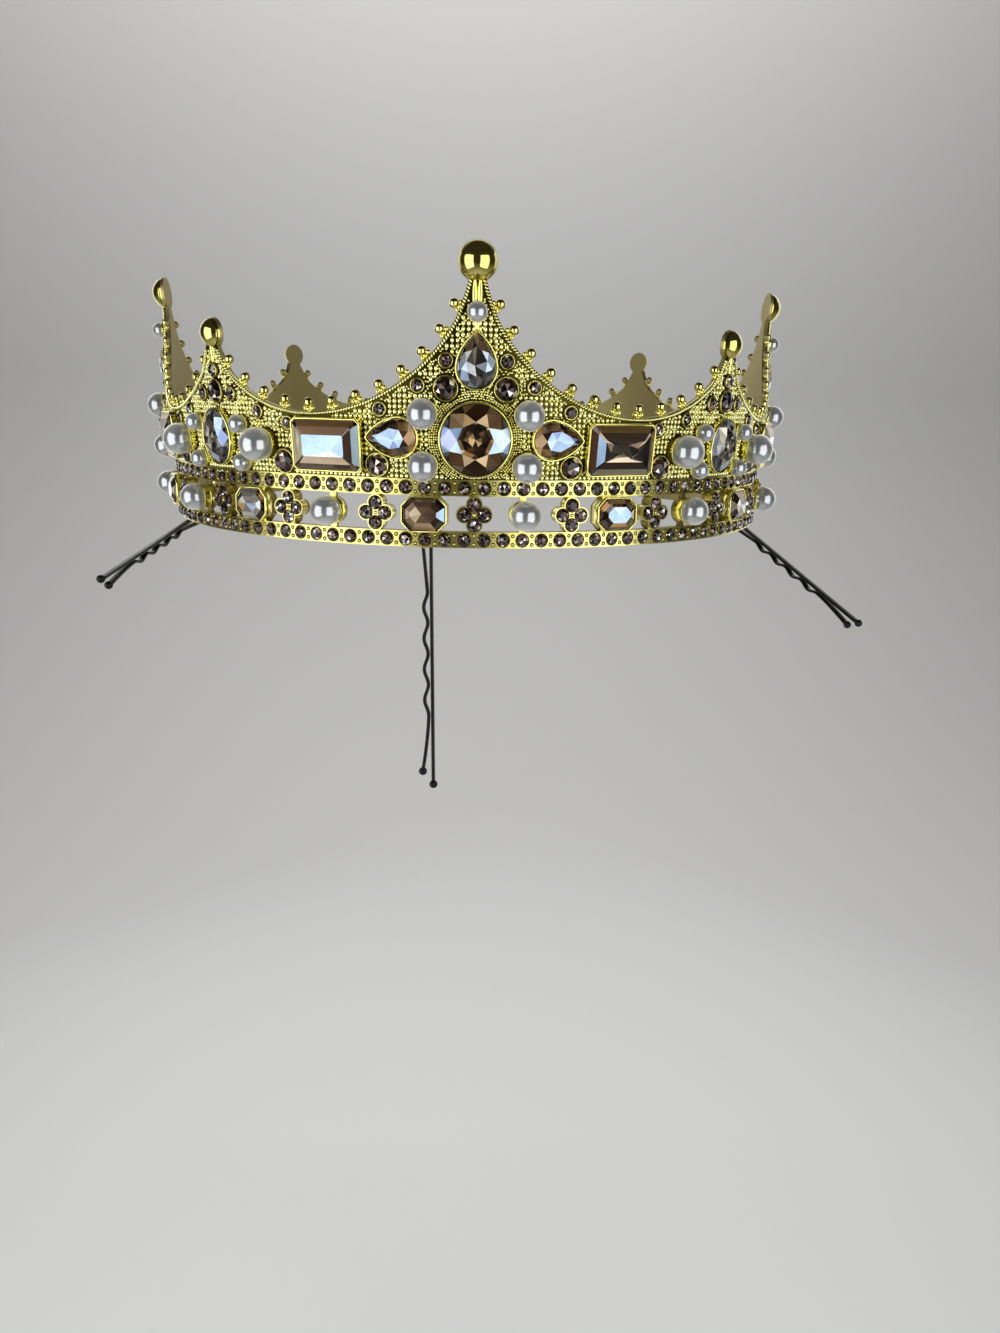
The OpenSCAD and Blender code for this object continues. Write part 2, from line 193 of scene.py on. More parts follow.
class Pile:
    """Gathers copies of forms, each put in place by a matrix, into one mesh. Only cut stones have tints."""

    def __init__(self):
        self.verts, self.faces, self.tints, self.looks, self.count = [], [], [], [], 0

    def add(self, form, place, tints=(), looks=()):
        verts, faces = form
        self.verts.append(verts @ place[:3, :3].T + place[:3, 3])
        self.faces += [tuple(i + self.count for i in f) for f in faces]
        self.tints += tints
        self.looks += looks
        self.count += len(verts)

    def piece(self, name, materials, slot="gilt_metal", replaced=(), closed=False):
        mesh = bpy.data.meshes.new(name)
        mesh.from_pydata((np.vstack(self.verts) * MM).tolist(), [], self.faces)
        if self.looks:
            mesh.polygons.foreach_set("material_index", self.looks)
        if self.tints:
            layer = mesh.color_attributes.new("tint", "FLOAT_COLOR", "CORNER")
            fade = random.Random(len(self.faces))
            colours = []
            for face, tint in zip(self.faces, self.tints):
                for _ in face:
                    k = fade.uniform(0.7, 1.15)
                    colours.append((*(min(1.0, v * k) for v in tint), 1.0))
            layer.data.foreach_set("color", np.array(colours, np.float32).ravel())
        if closed:
            work = bmesh.new()
            work.from_mesh(mesh)
            bmesh.ops.recalc_face_normals(work, faces=work.faces)
            work.to_mesh(mesh)
            work.free()
        mesh.shade_flat() if self.tints else mesh.shade_smooth()
        for m in materials if isinstance(materials, tuple) else (materials,):
            mesh.materials.append(m)
        obj = bpy.data.objects.new(name, mesh)
        bpy.context.scene.collection.objects.link(obj)
        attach(obj, "root")
        if replaced:
            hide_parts(*replaced)
        return obj


# Materials

GRAIN_M = 0.00003


class Shader:
    """A node material round one Principled BSDF. Its values are numbers, colours or other nodes' outputs."""

    def __init__(self, name, **values):
        self.material = bpy.data.materials.new(name)
        self.material.use_nodes = True
        self.tree = self.material.node_tree
        self.surface(**values)

    def feed(self, socket, value):
        if isinstance(value, bpy.types.NodeSocket):
            self.tree.links.new(value, socket)
        else:
            socket.default_value = value

    def give(self, node, values):
        """Sets a node's sockets and, where none has the name, its properties. An underscore is a space."""
        for key, value in values.items():
            name = key.replace("_", " ")
            if name in node.inputs:
                self.feed(node.inputs[name], value)
            else:
                setattr(node, key, value)
        return node

    def surface(self, **values):
        self.give(self.tree.nodes["Principled BSDF"], values)

    def add(self, kind, **values):
        return self.give(self.tree.nodes.new("ShaderNode" + kind), values)

    def math(self, kind, *values):
        n = self.add("Math", operation=kind)
        for socket, value in zip(n.inputs, values):
            self.feed(socket, value)
        return n.outputs[0]

    def noise(self, scale, detail=3.0):
        place = self.add("TexCoord").outputs["Object"]
        return self.add("TexNoise", Vector=place, Scale=scale, Detail=detail).outputs["Fac"]

    def ramp(self, fac, low, high, start=0.3, end=0.7):
        n = self.add("ValToRGB", Fac=fac)
        for stop, position, colour in zip(n.color_ramp.elements, (start, end), (low, high)):
            stop.position = position
            stop.color = (*colour, 1.0)
        return n.outputs["Color"]

    def spread(self, value, low, high, start=0.3, end=0.7):
        n = self.add("MapRange", Value=value, From_Min=start, From_Max=end, To_Min=low, To_Max=high)
        return n.outputs["Result"]

    def mix(self, factor, a, b, blend="MIX"):
        n = self.add("Mix", data_type="RGBA", blend_type=blend, Factor=factor, A=a, B=b)
        return n.outputs["Result"]

    def grain(self, height, strength):
        relief = self.add("Bump", Strength=strength, Distance=GRAIN_M, Height=height)
        self.surface(Normal=relief.outputs["Normal"])


def gold(name, low, high, rough, grain, grain_scale):
    """Plated cast metal: slightly uneven in colour and polish, with a fine cast grain."""
    sh = Shader(name, Metallic=1.0)
    sh.surface(Base_Color=sh.ramp(sh.noise(260.0), low, high),
               Roughness=sh.spread(sh.noise(1400.0, 5.0), *rough))
    sh.grain(sh.noise(grain_scale, 4.0), grain)
    return sh.material


def frame_gold():
    """The cast frame: near black between the pips as painted shade, rougher and painted darker inside, duller
    and painted darker on the rails, and painted darker on the balls.
    """
    sh = Shader("gilt_frame", Metallic=1.0)
    s = sh.math
    x, y, z = sh.add("SeparateXYZ", Vector=sh.add("TexCoord").outputs["Object"]).outputs
    wall = s("MULTIPLY_ADD", s("MAXIMUM", s("SUBTRACT", z, BAND_TOP * MM), 0.0), LEAN, RING_R * MM)
    height = s("SUBTRACT", s("SQRT", s("ADD", s("MULTIPLY", x, x), s("MULTIPLY", y, y))), wall)
    above_band = s("GREATER_THAN", z, (BAND_TOP + 0.05) * MM)
    # Painted shade: the bare wall between the pips is made near black
    ground = s("MULTIPLY", s("LESS_THAN", s("ABSOLUTE", height), 0.12 * MM), above_band)
    # The inside of the wall: rougher, and darker in colour as painted shade
    satin_and_shade = s("LESS_THAN", height, -0.5 * MM)
    rails = s("MULTIPLY", s("SUBTRACT", 1.0, satin_and_shade), s("SUBTRACT", 1.0, above_band))

    # The eight points fold onto one tall and one short one, so two centres find every ball
    wide, narrow = s("ABSOLUTE", x), s("ABSOLUTE", y)
    folded = sh.add("CombineXYZ", X=s("MAXIMUM", wide, narrow), Y=s("MINIMUM", wide, narrow), Z=z).outputs[0]
    balls = s("MULTIPLY", satin_and_shade, -1.0)
    for deg, ball_z, d in ((0.0, TALL_BALL_Z, TALL_BALL_D), (POINT_TURN, SHORT_BALL_Z, SHORT_BALL_D)):
        gap = sh.add("VectorMath", operation="DISTANCE")
        sh.feed(gap.inputs[0], folded)
        sh.feed(gap.inputs[1], on_wall(90 + deg, ball_z, -WALL_T)[:3, 3] * MM)
        balls = s("ADD", balls, s("LESS_THAN", gap.outputs["Value"], (d / 2 + 0.05) * MM))

    # Painted shade: near black between the pips
    colour = sh.mix(ground, sh.ramp(sh.noise(240.0), GOLD_LOW, GOLD_HIGH), (0.05, 0.04, 0.006, 1.0))
    # Painted shade: a darker gold inside the wall
    colour = sh.mix(satin_and_shade, colour, (0.40, 0.33, 0.14, 1.0))
    # Painted shade: the rails' colour is multiplied darker, besides their duller polish
    colour = sh.mix(rails, colour, (0.78, 0.77, 0.80, 1.0), "MULTIPLY")
    # Painted shade: the balls' colour is multiplied darker
    colour = sh.mix(s("MAXIMUM", balls, 0.0), colour, (0.62, 0.60, 0.56, 1.0), "MULTIPLY")
    rough = s("MULTIPLY_ADD", sh.noise(1300.0, 5.0), 0.1, 0.05)
    for where, added in ((satin_and_shade, 0.38), (rails, 0.16), (ground, 0.25)):
        rough = s("MULTIPLY_ADD", where, added, rough)
    sh.surface(Base_Color=colour, Roughness=rough)
    sh.grain(sh.noise(2400.0, 4.0), 0.05)
    return sh.material


def pearl_material():
    """Imitation pearl: a grey body under a strongly mirroring lacquer, with a soft warm sheen at the rim."""
    sh = Shader("pearl", Metallic=0.35, Roughness=0.3, IOR=1.6,
                Coat_Weight=1.0, Coat_Roughness=0.17, Coat_IOR=3.1,
                Sheen_Weight=1.0, Sheen_Roughness=0.5, Sheen_Tint=(1.0, 0.95, 0.86, 1.0))
    sh.surface(Base_Color=sh.ramp(sh.noise(420.0), (0.18, 0.19, 0.195), (0.24, 0.25, 0.25)))
    sh.grain(sh.noise(1600.0, 2.0), 0.05)
    return sh.material


def facet_material(name, metal, rough, coat, ior, tint):
    """Foiled facets of a stone, or facets under a clear coat. Their colours lie in the mesh, one to a facet;
    some are painted reflections, glints or shade.
    """
    sh = Shader(name, Metallic=metal, Roughness=rough, IOR=ior, Specular_Tint=(*tint, 1.0), Coat_Weight=coat,
                Coat_Roughness=0.02)
    facet = sh.add("VertexColor", layer_name="tint").outputs["Color"]
    haze = sh.ramp(sh.noise(900.0, 2.0), (0.86, 0.86, 0.86), WHITE)
    sh.surface(Base_Color=sh.mix(1.0, facet, haze, "MULTIPLY"))
    return sh.material


def glass_material(name, colour, tint):
    """Clear cut glass with a tinted gloss, and a little unevenness in its body."""
    sh = Shader(name, Transmission_Weight=1.0, Roughness=0.0, IOR=1.8, Specular_Tint=(*tint, 1.0))
    sh.surface(Base_Color=sh.ramp(sh.noise(300.0, 2.0), tuple(c * 0.93 for c in colour), colour))
    return sh.material


def enamel_material():
    """Black enamelled wire, a little rubbed."""
    sh = Shader("black_enamel", IOR=1.3)
    rub = sh.noise(700.0, 4.0)
    sh.surface(Base_Color=sh.ramp(rub, (0.001, 0.001, 0.001), (0.006, 0.006, 0.007), 0.4, 0.8),
               Roughness=sh.spread(rub, 0.22, 0.42, 0.0, 1.0))
    sh.grain(rub, 0.08)
    return sh.material


WHITE = (1.0, 1.0, 1.0)
GOLD_LOW, GOLD_HIGH = (0.84, 0.75, 0.20), (0.95, 0.87, 0.32)
# Darkest and lightest colour, range of roughness, strength and scale of the grain
GOLD = gold("gilt_polished", GOLD_LOW, GOLD_HIGH, (0.07, 0.16), 0.03, 2600.0)
GOLD_FRAME = frame_gold()
# Paler gold for the pips, stipple grains and cord: the paler colour is a painted highlight
GOLD_PAINTED_HIGHLIGHT = gold("gilt_pips_painted_highlight", (0.97, 0.91, 0.38), (1.0, 0.98, 0.56), (0.16, 0.26), 0.04, 3000.0)
# Dark gold for the rims and collars round small stones and the dark discs round the dots: painted shade in
# their recesses
GOLD_PAINTED_SHADE = gold("gilt_painted_shade", (0.10, 0.075, 0.01), (0.2, 0.15, 0.03), (0.3, 0.5), 0.1, 2000.0)
PEARL = pearl_material()
# Metal, roughness, coat, index of refraction and colour of the gloss
FOIL = facet_material("champagne_foil", 0.55, 0.25, 0.0, 1.5, (1.0, 0.88, 0.72))
FLASH = facet_material("painted_reflection_facets", 0.25, 0.12, 1.0, 1.6, (0.8, 0.9, 1.0))
SHADE = facet_material("shaded_facets", 0.3, 0.3, 0.0, 1.2, (1.0, 0.86, 0.68))
SMOKY = facet_material("smoky_facets", 0.45, 0.12, 0.35, 1.5, (1.0, 0.9, 0.84))
CLEAR_WARM = glass_material("champagne_glass", (0.94, 0.83, 0.69), (0.95, 0.86, 0.76))
CLEAR_PALE = glass_material("pale_glass", (0.97, 0.95, 0.91), (0.80, 0.88, 1.0))
ENAMEL = enamel_material()


# Cut stones: each facet has a look, which is a material, and a colour

GLASS_LOOK, FOIL_LOOK, FLASH_LOOK, SHADE_LOOK = range(4)
# Colour sums above which a facet is a pale painted reflection, and below which it is painted shade
PAINTED_REFLECTION_ABOVE, SHADED_BELOW = 1.2, 0.18


def painted_look(colour):
    """Pale colours are painted reflections and get the glossy coat, middle ones show the foil through the
    glass, and the darkest are painted shade with a dull gloss.
    """
    if sum(colour) > PAINTED_REFLECTION_ABOVE:
        return FLASH_LOOK
    return SHADE_LOOK if sum(colour) < SHADED_BELOW else FOIL_LOOK


def brilliant(outline, w, h, table, seed, palette, flash):
    """A closed stone: table, stars, kites and girdle facets above; foiled mains, halves and a star below.
    flash gives the colour of facets above whose reflections, glints or shade are painted, by their kind and
    number."""
    r = random.Random(seed)
    deep = GIRDLE - GIRDLE_H

    def back(share):
        return POCKET_Z + share * (deep - POCKET_Z)

    # Rings of corners from the table down: how many, turn in steps, share of the outline, height
    rings = [
        (8, 0.0, table, STONE_TOP),
        (8, 0.5, 0.8, GIRDLE + 0.62 * (STONE_TOP - GIRDLE)),
        (16, 0.0, 1.0, GIRDLE),
        (16, 0.0, 1.0, deep),
        (8, 0.5, 0.66, back(0.45)),
        (8, 0.0, 0.42, back(0.0)),
        (8, 0.5, 0.2, back(0.5)),
    ]
    verts, first = [], []
    for n, start, scale, z in rings:
        first.append(len(verts))
        verts += [(x * scale, y * scale, z) for x, y in outline(w, h, n, start)]
    t, m, g, w, b, p, c = first
    heart = len(verts)
    verts.append((0, 0, back(0.15)))
    faces, tints, looks = [], [], []

    def above(face, kind=None, i=0):
        painted_colour = flash.get(kind, {}).get(i)
        faces.append(face)
        looks.append(painted_look(painted_colour) if painted_colour else GLASS_LOOK)
        tints.append(painted_colour or WHITE)

    def behind(face, kind):
        faces.append(face)
        looks.append(FOIL_LOOK)
        tints.append(palette(kind, r))

    if "table" in flash:
        verts.append((-0.035 * h, -0.08 * h, STONE_TOP))
        for i in range(8):
            above((t + i, t + (i + 1) % 8, heart + 1), "table", i)
    else:
        above(tuple(range(8)))
    for i in range(8):
        j, k, a = (i + 1) % 8, (i - 1) % 8, 2 * i
        d, e = a + 1, (a + 2) % 16
        above((t + i, m + i, t + j), "upper", i)
        above((t + i, m + k, g + a, m + i), "kite", i)
        above((m + i, g + a, g + d), "girdle", a)
        above((m + i, g + d, g + e), "girdle", d)
        behind((b + i, w + a, w + d), "half")
        behind((b + i, w + d, w + e), "half")
        behind((w + a, b + i, p + i), "main")
        behind((w + a, p + i, b + k), "main")
        behind((p + i, b + i, p + j), "star")
        behind((p + i, p + j, c + i), "inner")
        behind((p + i, c + i, c + k), "inner")
        behind((c + k, c + i, heart), "heart")
    for i in range(16):
        above((g + i, w + i, w + (i + 1) % 16, g + (i + 1) % 16))
    return (np.array(verts, float), faces), tints, looks


# Inner corners of a table whose parts carry painted reflections of the facets behind it, as shares of its
# half width and half height
MOSAIC = [
    (0.60, 0.30), (0.16, 0.62), (-0.62, 0.66), (-0.74, -0.05),
    (-0.42, -0.60), (-0.12, -0.10), (0.30, -0.72), (0.74, -0.10),
]


def step_cut(size, cut, heights, inset, middle_at, seed, flash):
    """A closed rectangular stone: a table and two steps above, foiled steps down to a keel below.
    flash gives the colours of the table's parts, and of each step's facets by the step and their number:
    painted reflections, glints and shade."""
    r = random.Random(seed)
    (w, h), (top, girdle, low) = size, heights
    deep = girdle - GIRDLE_H
    # Rings of corners from the table down: how far in from the outline, height
    rings = [
        (inset, top),
        (0.45 * inset, girdle + 0.55 * (top - girdle)),
        (0.0, girdle),
        (0.0, deep),
        (0.11 * h, low + 0.3 * (deep - low)),
        (0.22 * h, low + 0.55 * (deep - low)),
        (0.33 * h, low),
    ]
    verts = []
    for d, z in rings:
        verts += [(x, y, z) for x, y in cut_rect(w - 2 * d, h - 2 * d, max(cut - 0.3 * d, 0.25))]
    middle = len(verts)
    verts.append((middle_at[0] * w, middle_at[1] * h, top))
    if "mosaic" in flash:
        verts += [(x * (w / 2 - inset), y * (h / 2 - inset), top) for x, y in MOSAIC]
        faces, tints = [], []
        for i, colours in enumerate(flash["mosaic"]):
            j = (i + 1) % 8
            a, b = middle + 1 + i, middle + 1 + j
            faces += [(i, j, a), (j, b, a), (a, b, middle)]
            tints += colours
    else:
        faces = [(i, (i + 1) % 8, middle) for i in range(8)]
        tints = [flash["table"][i] for i in range(8)]
    looks = [painted_look(colour) for colour in tints]
    for s in range(len(rings) - 1):
        for i in range(8):
            j = (i + 1) % 8
            faces.append((s * 8 + i, s * 8 + j, s * 8 + 8 + j, s * 8 + 8 + i))
            painted_colour = flash.get(s, {}).get(i)
            looks.append(painted_look(painted_colour) if painted_colour else GLASS_LOOK if s < 3 else FOIL_LOOK)
            tints.append(painted_colour or (WHITE if s < 3 else champagne("step%d" % (s - 3), r)))
    last, n = 8 * (len(rings) - 1), len(verts)
    keel = max((w - h) / 2 + 0.1 * h, 0.1)
    verts += [(x, 0, low + 0.5 * (deep - low)) for x in (keel, -keel)]
    ends = [n, n, n + 1, n + 1, n + 1, n + 1, n, n]
    for i in range(8):
        j = (i + 1) % 8
        faces.append(once(last + i, last + j, ends[j], ends[i]))
        looks.append(FOIL_LOOK)
        tints.append(champagne("keel", r))
    return (np.array(verts, float), faces), tints, looks


# Facet colours; BLUE, DEEP_BLUE and ICE serve only as painted reflections of the lamps
DARK, BROWN, AMBER = (0.03, 0.018, 0.01), (0.20, 0.115, 0.05), (0.66, 0.36, 0.13)
TAN, CREAM, PALE = (0.94, 0.66, 0.36), (0.78, 0.68, 0.46), (0.85, 0.82, 0.74)
BLUE, DEEP_BLUE, ICE = (0.38, 0.52, 0.74), (0.26, 0.33, 0.56), (0.55, 0.70, 0.78)

PALE_BACK = (DARK, (0.30, 0.27, 0.24), (0.62, 0.55, 0.46), (0.72, 0.76, 0.84), (0.95, 0.93, 0.88))
# Colours of small stones' facets, from near black to a pale one that is a painted glint
SMOKY_FACETS = (
    (0.004, 0.003, 0.003), (0.03, 0.015, 0.012), (0.10, 0.05, 0.042), (0.26, 0.15, 0.12), (1.0, 0.84, 0.74)
)

# How often a foiled facet of each kind is dark, brown, amber, tan or pale
CHAMPAGNE_SHARES = {
    "half": (0.25, 0.4, 0.2, 0.15, 0.0),
    "main": (0.3, 0.3, 0.2, 0.15, 0.05),
    "star": (0.5, 0.35, 0.1, 0.05, 0.0),
    "inner": (0.65, 0.27, 0.05, 0.03, 0.0),
    "heart": (0.5, 0.3, 0.1, 0.1, 0.0),
    "step0": (0.25, 0.45, 0.2, 0.1, 0.0),
    "step1": (0.35, 0.35, 0.2, 0.1, 0.0),
    "step2": (0.3, 0.35, 0.2, 0.15, 0.0),
    "keel": (0.35, 0.35, 0.15, 0.15, 0.0),
}


def drawn(r, colours, shares, low, high):
    """One of some colours by their shares, made a little darker or lighter."""
    base = r.choices(colours, shares)[0]
    k = r.uniform(low, high)
    return tuple(min(1.0, c * k) for c in base)


def champagne(kind, r):
    return drawn(r, (DARK, BROWN, AMBER, TAN, PALE), CHAMPAGNE_SHARES[kind], 0.8, 1.2)


def pale(_, r):
    return drawn(r, PALE_BACK, (0.28, 0.24, 0.18, 0.18, 0.12), 0.85, 1.15)


def smoky(r):
    return drawn(r, SMOKY_FACETS, (0.48, 0.24, 0.11, 0.07, 0.10), 0.8, 1.25)


# Facets above with painted colours: pale blue and white painted reflections and glints of the lamps, and
# amber, cream or dark painted reflections and shade beside them
ROUND_FLASH = {
    "upper": {0: (0.58, 0.70, 0.73), 1: TAN, 2: (0.62, 0.40, 0.20), 3: (0.34, 0.49, 0.70), 4: ICE,
              5: (0.70, 0.48, 0.26), 6: TAN, 7: (0.42, 0.60, 0.74)},
    "kite": {0: (0.70, 0.80, 0.82), 1: (0.10, 0.05, 0.02), 2: (0.03, 0.012, 0.004), 3: (0.16, 0.09, 0.04),
             4: (0.46, 0.50, 0.70), 5: (0.09, 0.045, 0.018), 6: (0.02, 0.01, 0.004), 7: (0.12, 0.06, 0.025)},
    "girdle": {0: ICE, 3: DARK, 4: BROWN, 7: DEEP_BLUE, 8: BLUE, 11: DARK, 12: DARK, 15: BLUE},
}
PEAR_FLASH = {
    "table": {0: BLUE, 1: (0.36, 0.50, 0.74), 2: DEEP_BLUE, 3: (0.42, 0.56, 0.76), 4: ICE, 5: BLUE,
              6: (0.33, 0.47, 0.70), 7: (0.44, 0.58, 0.78)},
    "upper": {0: (0.32, 0.40, 0.58), 3: DARK, 4: (0.12, 0.06, 0.025), 7: BLUE},
    "kite": {4: (0.34, 0.21, 0.11), 5: (0.30, 0.17, 0.07)},
    "girdle": {6: AMBER, 7: BROWN, 8: (0.45, 0.28, 0.13), 9: TAN},
}
DROP_FLASH = {
    "table": {0: (0.34, 0.28, 0.21), 1: (0.12, 0.11, 0.10), 2: WHITE, 3: WHITE, 4: (0.03, 0.028, 0.02),
              5: (0.44, 0.48, 0.56), 6: (0.025, 0.02, 0.015), 7: (0.04, 0.03, 0.02)},
    "upper": {1: (0.34, 0.32, 0.30), 2: (0.44, 0.54, 0.70), 5: (0.52, 0.62, 0.76), 6: (0.58, 0.66, 0.78),
              7: (0.14, 0.10, 0.07)},
    "kite": {0: (0.42, 0.25, 0.11), 1: (0.20, 0.12, 0.06), 3: (0.40, 0.50, 0.68), 6: (0.62, 0.70, 0.80),
             7: (0.26, 0.15, 0.07)},
    "girdle": {0: AMBER, 4: (0.34, 0.40, 0.52), 7: (0.30, 0.36, 0.48), 15: BROWN},
}
OVAL_FLASH = {
    "upper": {0: BLUE, 3: (1.0, 0.92, 0.70), 5: (0.46, 0.40, 0.30)},
    "kite": {0: DEEP_BLUE, 1: ICE, 3: (0.92, 0.82, 0.60), 6: (0.36, 0.40, 0.46)},
}
LEFT_BAGUETTE = {
    "table": {**dict.fromkeys(range(8), (0.44, 0.62, 0.84)), 5: (0.78, 0.84, 0.88)},
    0: {1: (0.13, 0.065, 0.03), 3: CREAM, 5: (0.62, 0.46, 0.30), 7: (0.10, 0.05, 0.03)},
    1: {1: (0.24, 0.13, 0.06), 3: (0.55, 0.42, 0.26), 7: ICE},
}
# The mosaic has three facets for each side of the table: at its edge, beside its corner and at the middle
RIGHT_BAGUETTE = {
    "mosaic": [
        ((0.55, 0.38, 0.24), (0.18, 0.12, 0.08), (0.008, 0.006, 0.005)),
        ((0.02, 0.014, 0.01), (0.012, 0.008, 0.006), (0.03, 0.022, 0.015)),
        ((0.62, 0.45, 0.28), (0.14, 0.10, 0.06), (0.05, 0.035, 0.02)),
        ((0.012, 0.01, 0.008), (0.02, 0.014, 0.012), (0.012, 0.008, 0.006)),
        ((0.008, 0.006, 0.005), (0.015, 0.01, 0.008), (0.33, 0.27, 0.20)),
        ((0.88, 0.64, 0.38), (0.03, 0.02, 0.014), (0.008, 0.006, 0.005)),
        ((0.04, 0.026, 0.016), (0.012, 0.008, 0.008), (0.12, 0.10, 0.07)),
        ((0.006, 0.004, 0.004), (0.04, 0.028, 0.02), (0.006, 0.004, 0.004)),
    ],
    0: {0: (0.70, 0.56, 0.40), 1: DARK, 2: (0.45, 0.30, 0.18), 3: (0.50, 0.68, 0.94), 4: (0.01, 0.008, 0.006),
        5: (0.04, 0.025, 0.016), 6: (0.015, 0.01, 0.008), 7: (0.01, 0.007, 0.006)},
    1: {1: (0.20, 0.12, 0.04), 3: (0.09, 0.04, 0.025), 5: (0.24, 0.21, 0.16), 7: (0.24, 0.17, 0.11)},
}
OCTAGON_A = {
    "table": {0: (0.16, 0.09, 0.05), 1: (0.22, 0.13, 0.07), 2: (0.90, 0.70, 0.46), 3: (1.0, 0.84, 0.60),
              4: (0.86, 0.64, 0.40), 5: (0.24, 0.14, 0.08), 6: (0.14, 0.08, 0.05), 7: (0.12, 0.07, 0.04)},
    0: {0: DARK, 1: (0.16, 0.09, 0.05), 2: (0.14, 0.08, 0.05), 3: (0.34, 0.23, 0.14), 4: BROWN,
        5: (0.44, 0.30, 0.18), 6: DARK, 7: BLUE},
    1: {5: (0.28, 0.17, 0.09), 7: (0.36, 0.55, 0.86)},
}
OCTAGON_B = {
    "table": {**dict.fromkeys(range(8), (0.42, 0.60, 0.80)), 1: (0.60, 0.74, 0.84)},
    0: {5: AMBER, 7: CREAM},
}
OCTAGON_C = {
    "table": {0: (0.30, 0.27, 0.23), 1: (0.42, 0.38, 0.32), 2: (0.95, 0.90, 0.78), 3: (0.80, 0.52, 0.24),
              4: (0.72, 0.46, 0.22), 5: (0.34, 0.31, 0.28), 6: (0.66, 0.78, 0.95), 7: (0.46, 0.56, 0.68)},
    0: {1: (0.36, 0.32, 0.27), 3: (0.30, 0.24, 0.17), 5: (0.50, 0.46, 0.40), 7: (0.62, 0.60, 0.56)},
    1: {1: (0.28, 0.24, 0.2), 5: (0.40, 0.36, 0.30)},
}


# Large stones of the wall and their rims

BEZEL = [(0.05, 1.55), (0.12, 1.98), (0.3, 2.06), (0.46, 1.9), (0.5, 1.4), (0.5, 0.0), (0.05, 0.0)]
# Each kind of brilliant: outline, width, length, share of its table, slot, and colours behind and above
BRILLIANTS = {
    "round": (oval_outline, ROUND_W, ROUND_W, 0.52, "champagne_glass", champagne, ROUND_FLASH),
    "pear": (drop_outline, PEAR_W, PEAR_L, 0.56, "champagne_glass", champagne, PEAR_FLASH),
    "drop": (drop_outline, DROP_W, DROP_L, 0.56, "pale_glass", pale, DROP_FLASH),
    "oval": (oval_outline, OVAL_W, OVAL_H, 0.56, "pale_glass", pale, OVAL_FLASH),
}

# Name, kind, degrees, height and roll of each
STONES = []
for k, side in enumerate(SIDES):
    deg = k * 90.0
    STONES.append(("round_stone_" + side, "round", deg, ROUND_Z, 0.0))
    STONES.append(("drop_stone_" + side, "drop", deg, DROP_Z, 0.0))
    for half, sign in HALVES.items():
        name = "pear_stone_%s_%s" % (side, half)
        STONES.append((name, "pear", deg + sign * arc_deg(PEAR_ARC), PEAR_Z, -sign * 90.0))
for k, corner in enumerate(CORNERS):
    deg = k * 90.0 + POINT_TURN
    STONES.append(("oval_stone_" + corner, "oval", deg, OVAL_Z, 0.0))
    for half, sign in HALVES.items():
        name = "baguette_%s_%s" % (corner, half)
        STONES.append((name, "baguette", deg + sign * BAGUETTE_TURN, BAGUETTE_Z, 0.0))

bezels = Pile()
for number, (name, kind, deg, z, roll) in enumerate(STONES):
    place = on_wall(deg, z, 0, roll)
    if kind == "baguette":
        slot = "champagne_glass"
        form, tints, looks = step_cut(
            (BAGUETTE_W, BAGUETTE_H), BAGUETTE_CUT, (STONE_TOP, GIRDLE, POCKET_Z), inset=3.0,
            middle_at=(0.12, -0.1), seed=number,
            flash=LEFT_BAGUETTE if name.endswith("b") else RIGHT_BAGUETTE)
        rim = cut_rect(BAGUETTE_W, BAGUETTE_H, BAGUETTE_CUT)
    else:
        outline, w, h, table, slot, palette, flash = BRILLIANTS[kind]
        form, tints, looks = brilliant(outline, w, h, table, number, palette, flash)
        rim = outline(w, h, 48)
    glass = CLEAR_PALE if slot == "pale_glass" else CLEAR_WARM
    stone = Pile()
    stone.add(form, place, tints, looks)
    stone.piece("cut_" + name, (glass, FOIL, FLASH, SHADE), slot, replaced=[name], closed=True)
    bezels.add(ring_form(rim, BEZEL), place)
bezels.piece("stone_rims", GOLD)


# Eight-sided stones of the band, in turn blue, pale and champagne

OCTAGON_RIM = [(0.02, 1.7), (0.08, 2.12), (0.24, 2.2), (0.4, 2.05), (0.44, 1.6), (0.44, 0.3), (0.02, 0.3)]
octagons, rims = Pile(), Pile()
for i in range(3, BAND_PLACES, 4):
    place = on_band(i * BAND_STEP, RAIL_R)
    form, tints, looks = step_cut(
        (OCTAGON_W, OCTAGON_H), OCTAGON_CUT, heights=(3.1, 1.95, 0.42), inset=1.7, middle_at=(-0.04, 0.02),
        seed=200 + i, flash={3: OCTAGON_B, 7: OCTAGON_C}.get(i % 12, OCTAGON_A))
    octagons.add(form, place, tints, looks)
    rims.add(ring_form(cut_rect(OCTAGON_W + 0.15, OCTAGON_H + 0.15, OCTAGON_CUT), OCTAGON_RIM), place)
octagons.piece("band_octagon_stones", (CLEAR_WARM, FOIL, FLASH, SHADE), "champagne_glass",
               replaced=["band_octagons"], closed=True)
rims.piece("band_octagon_rims", GOLD)


# Small stones: chips of the points, the rails' rows and the clovers, each in its own rim

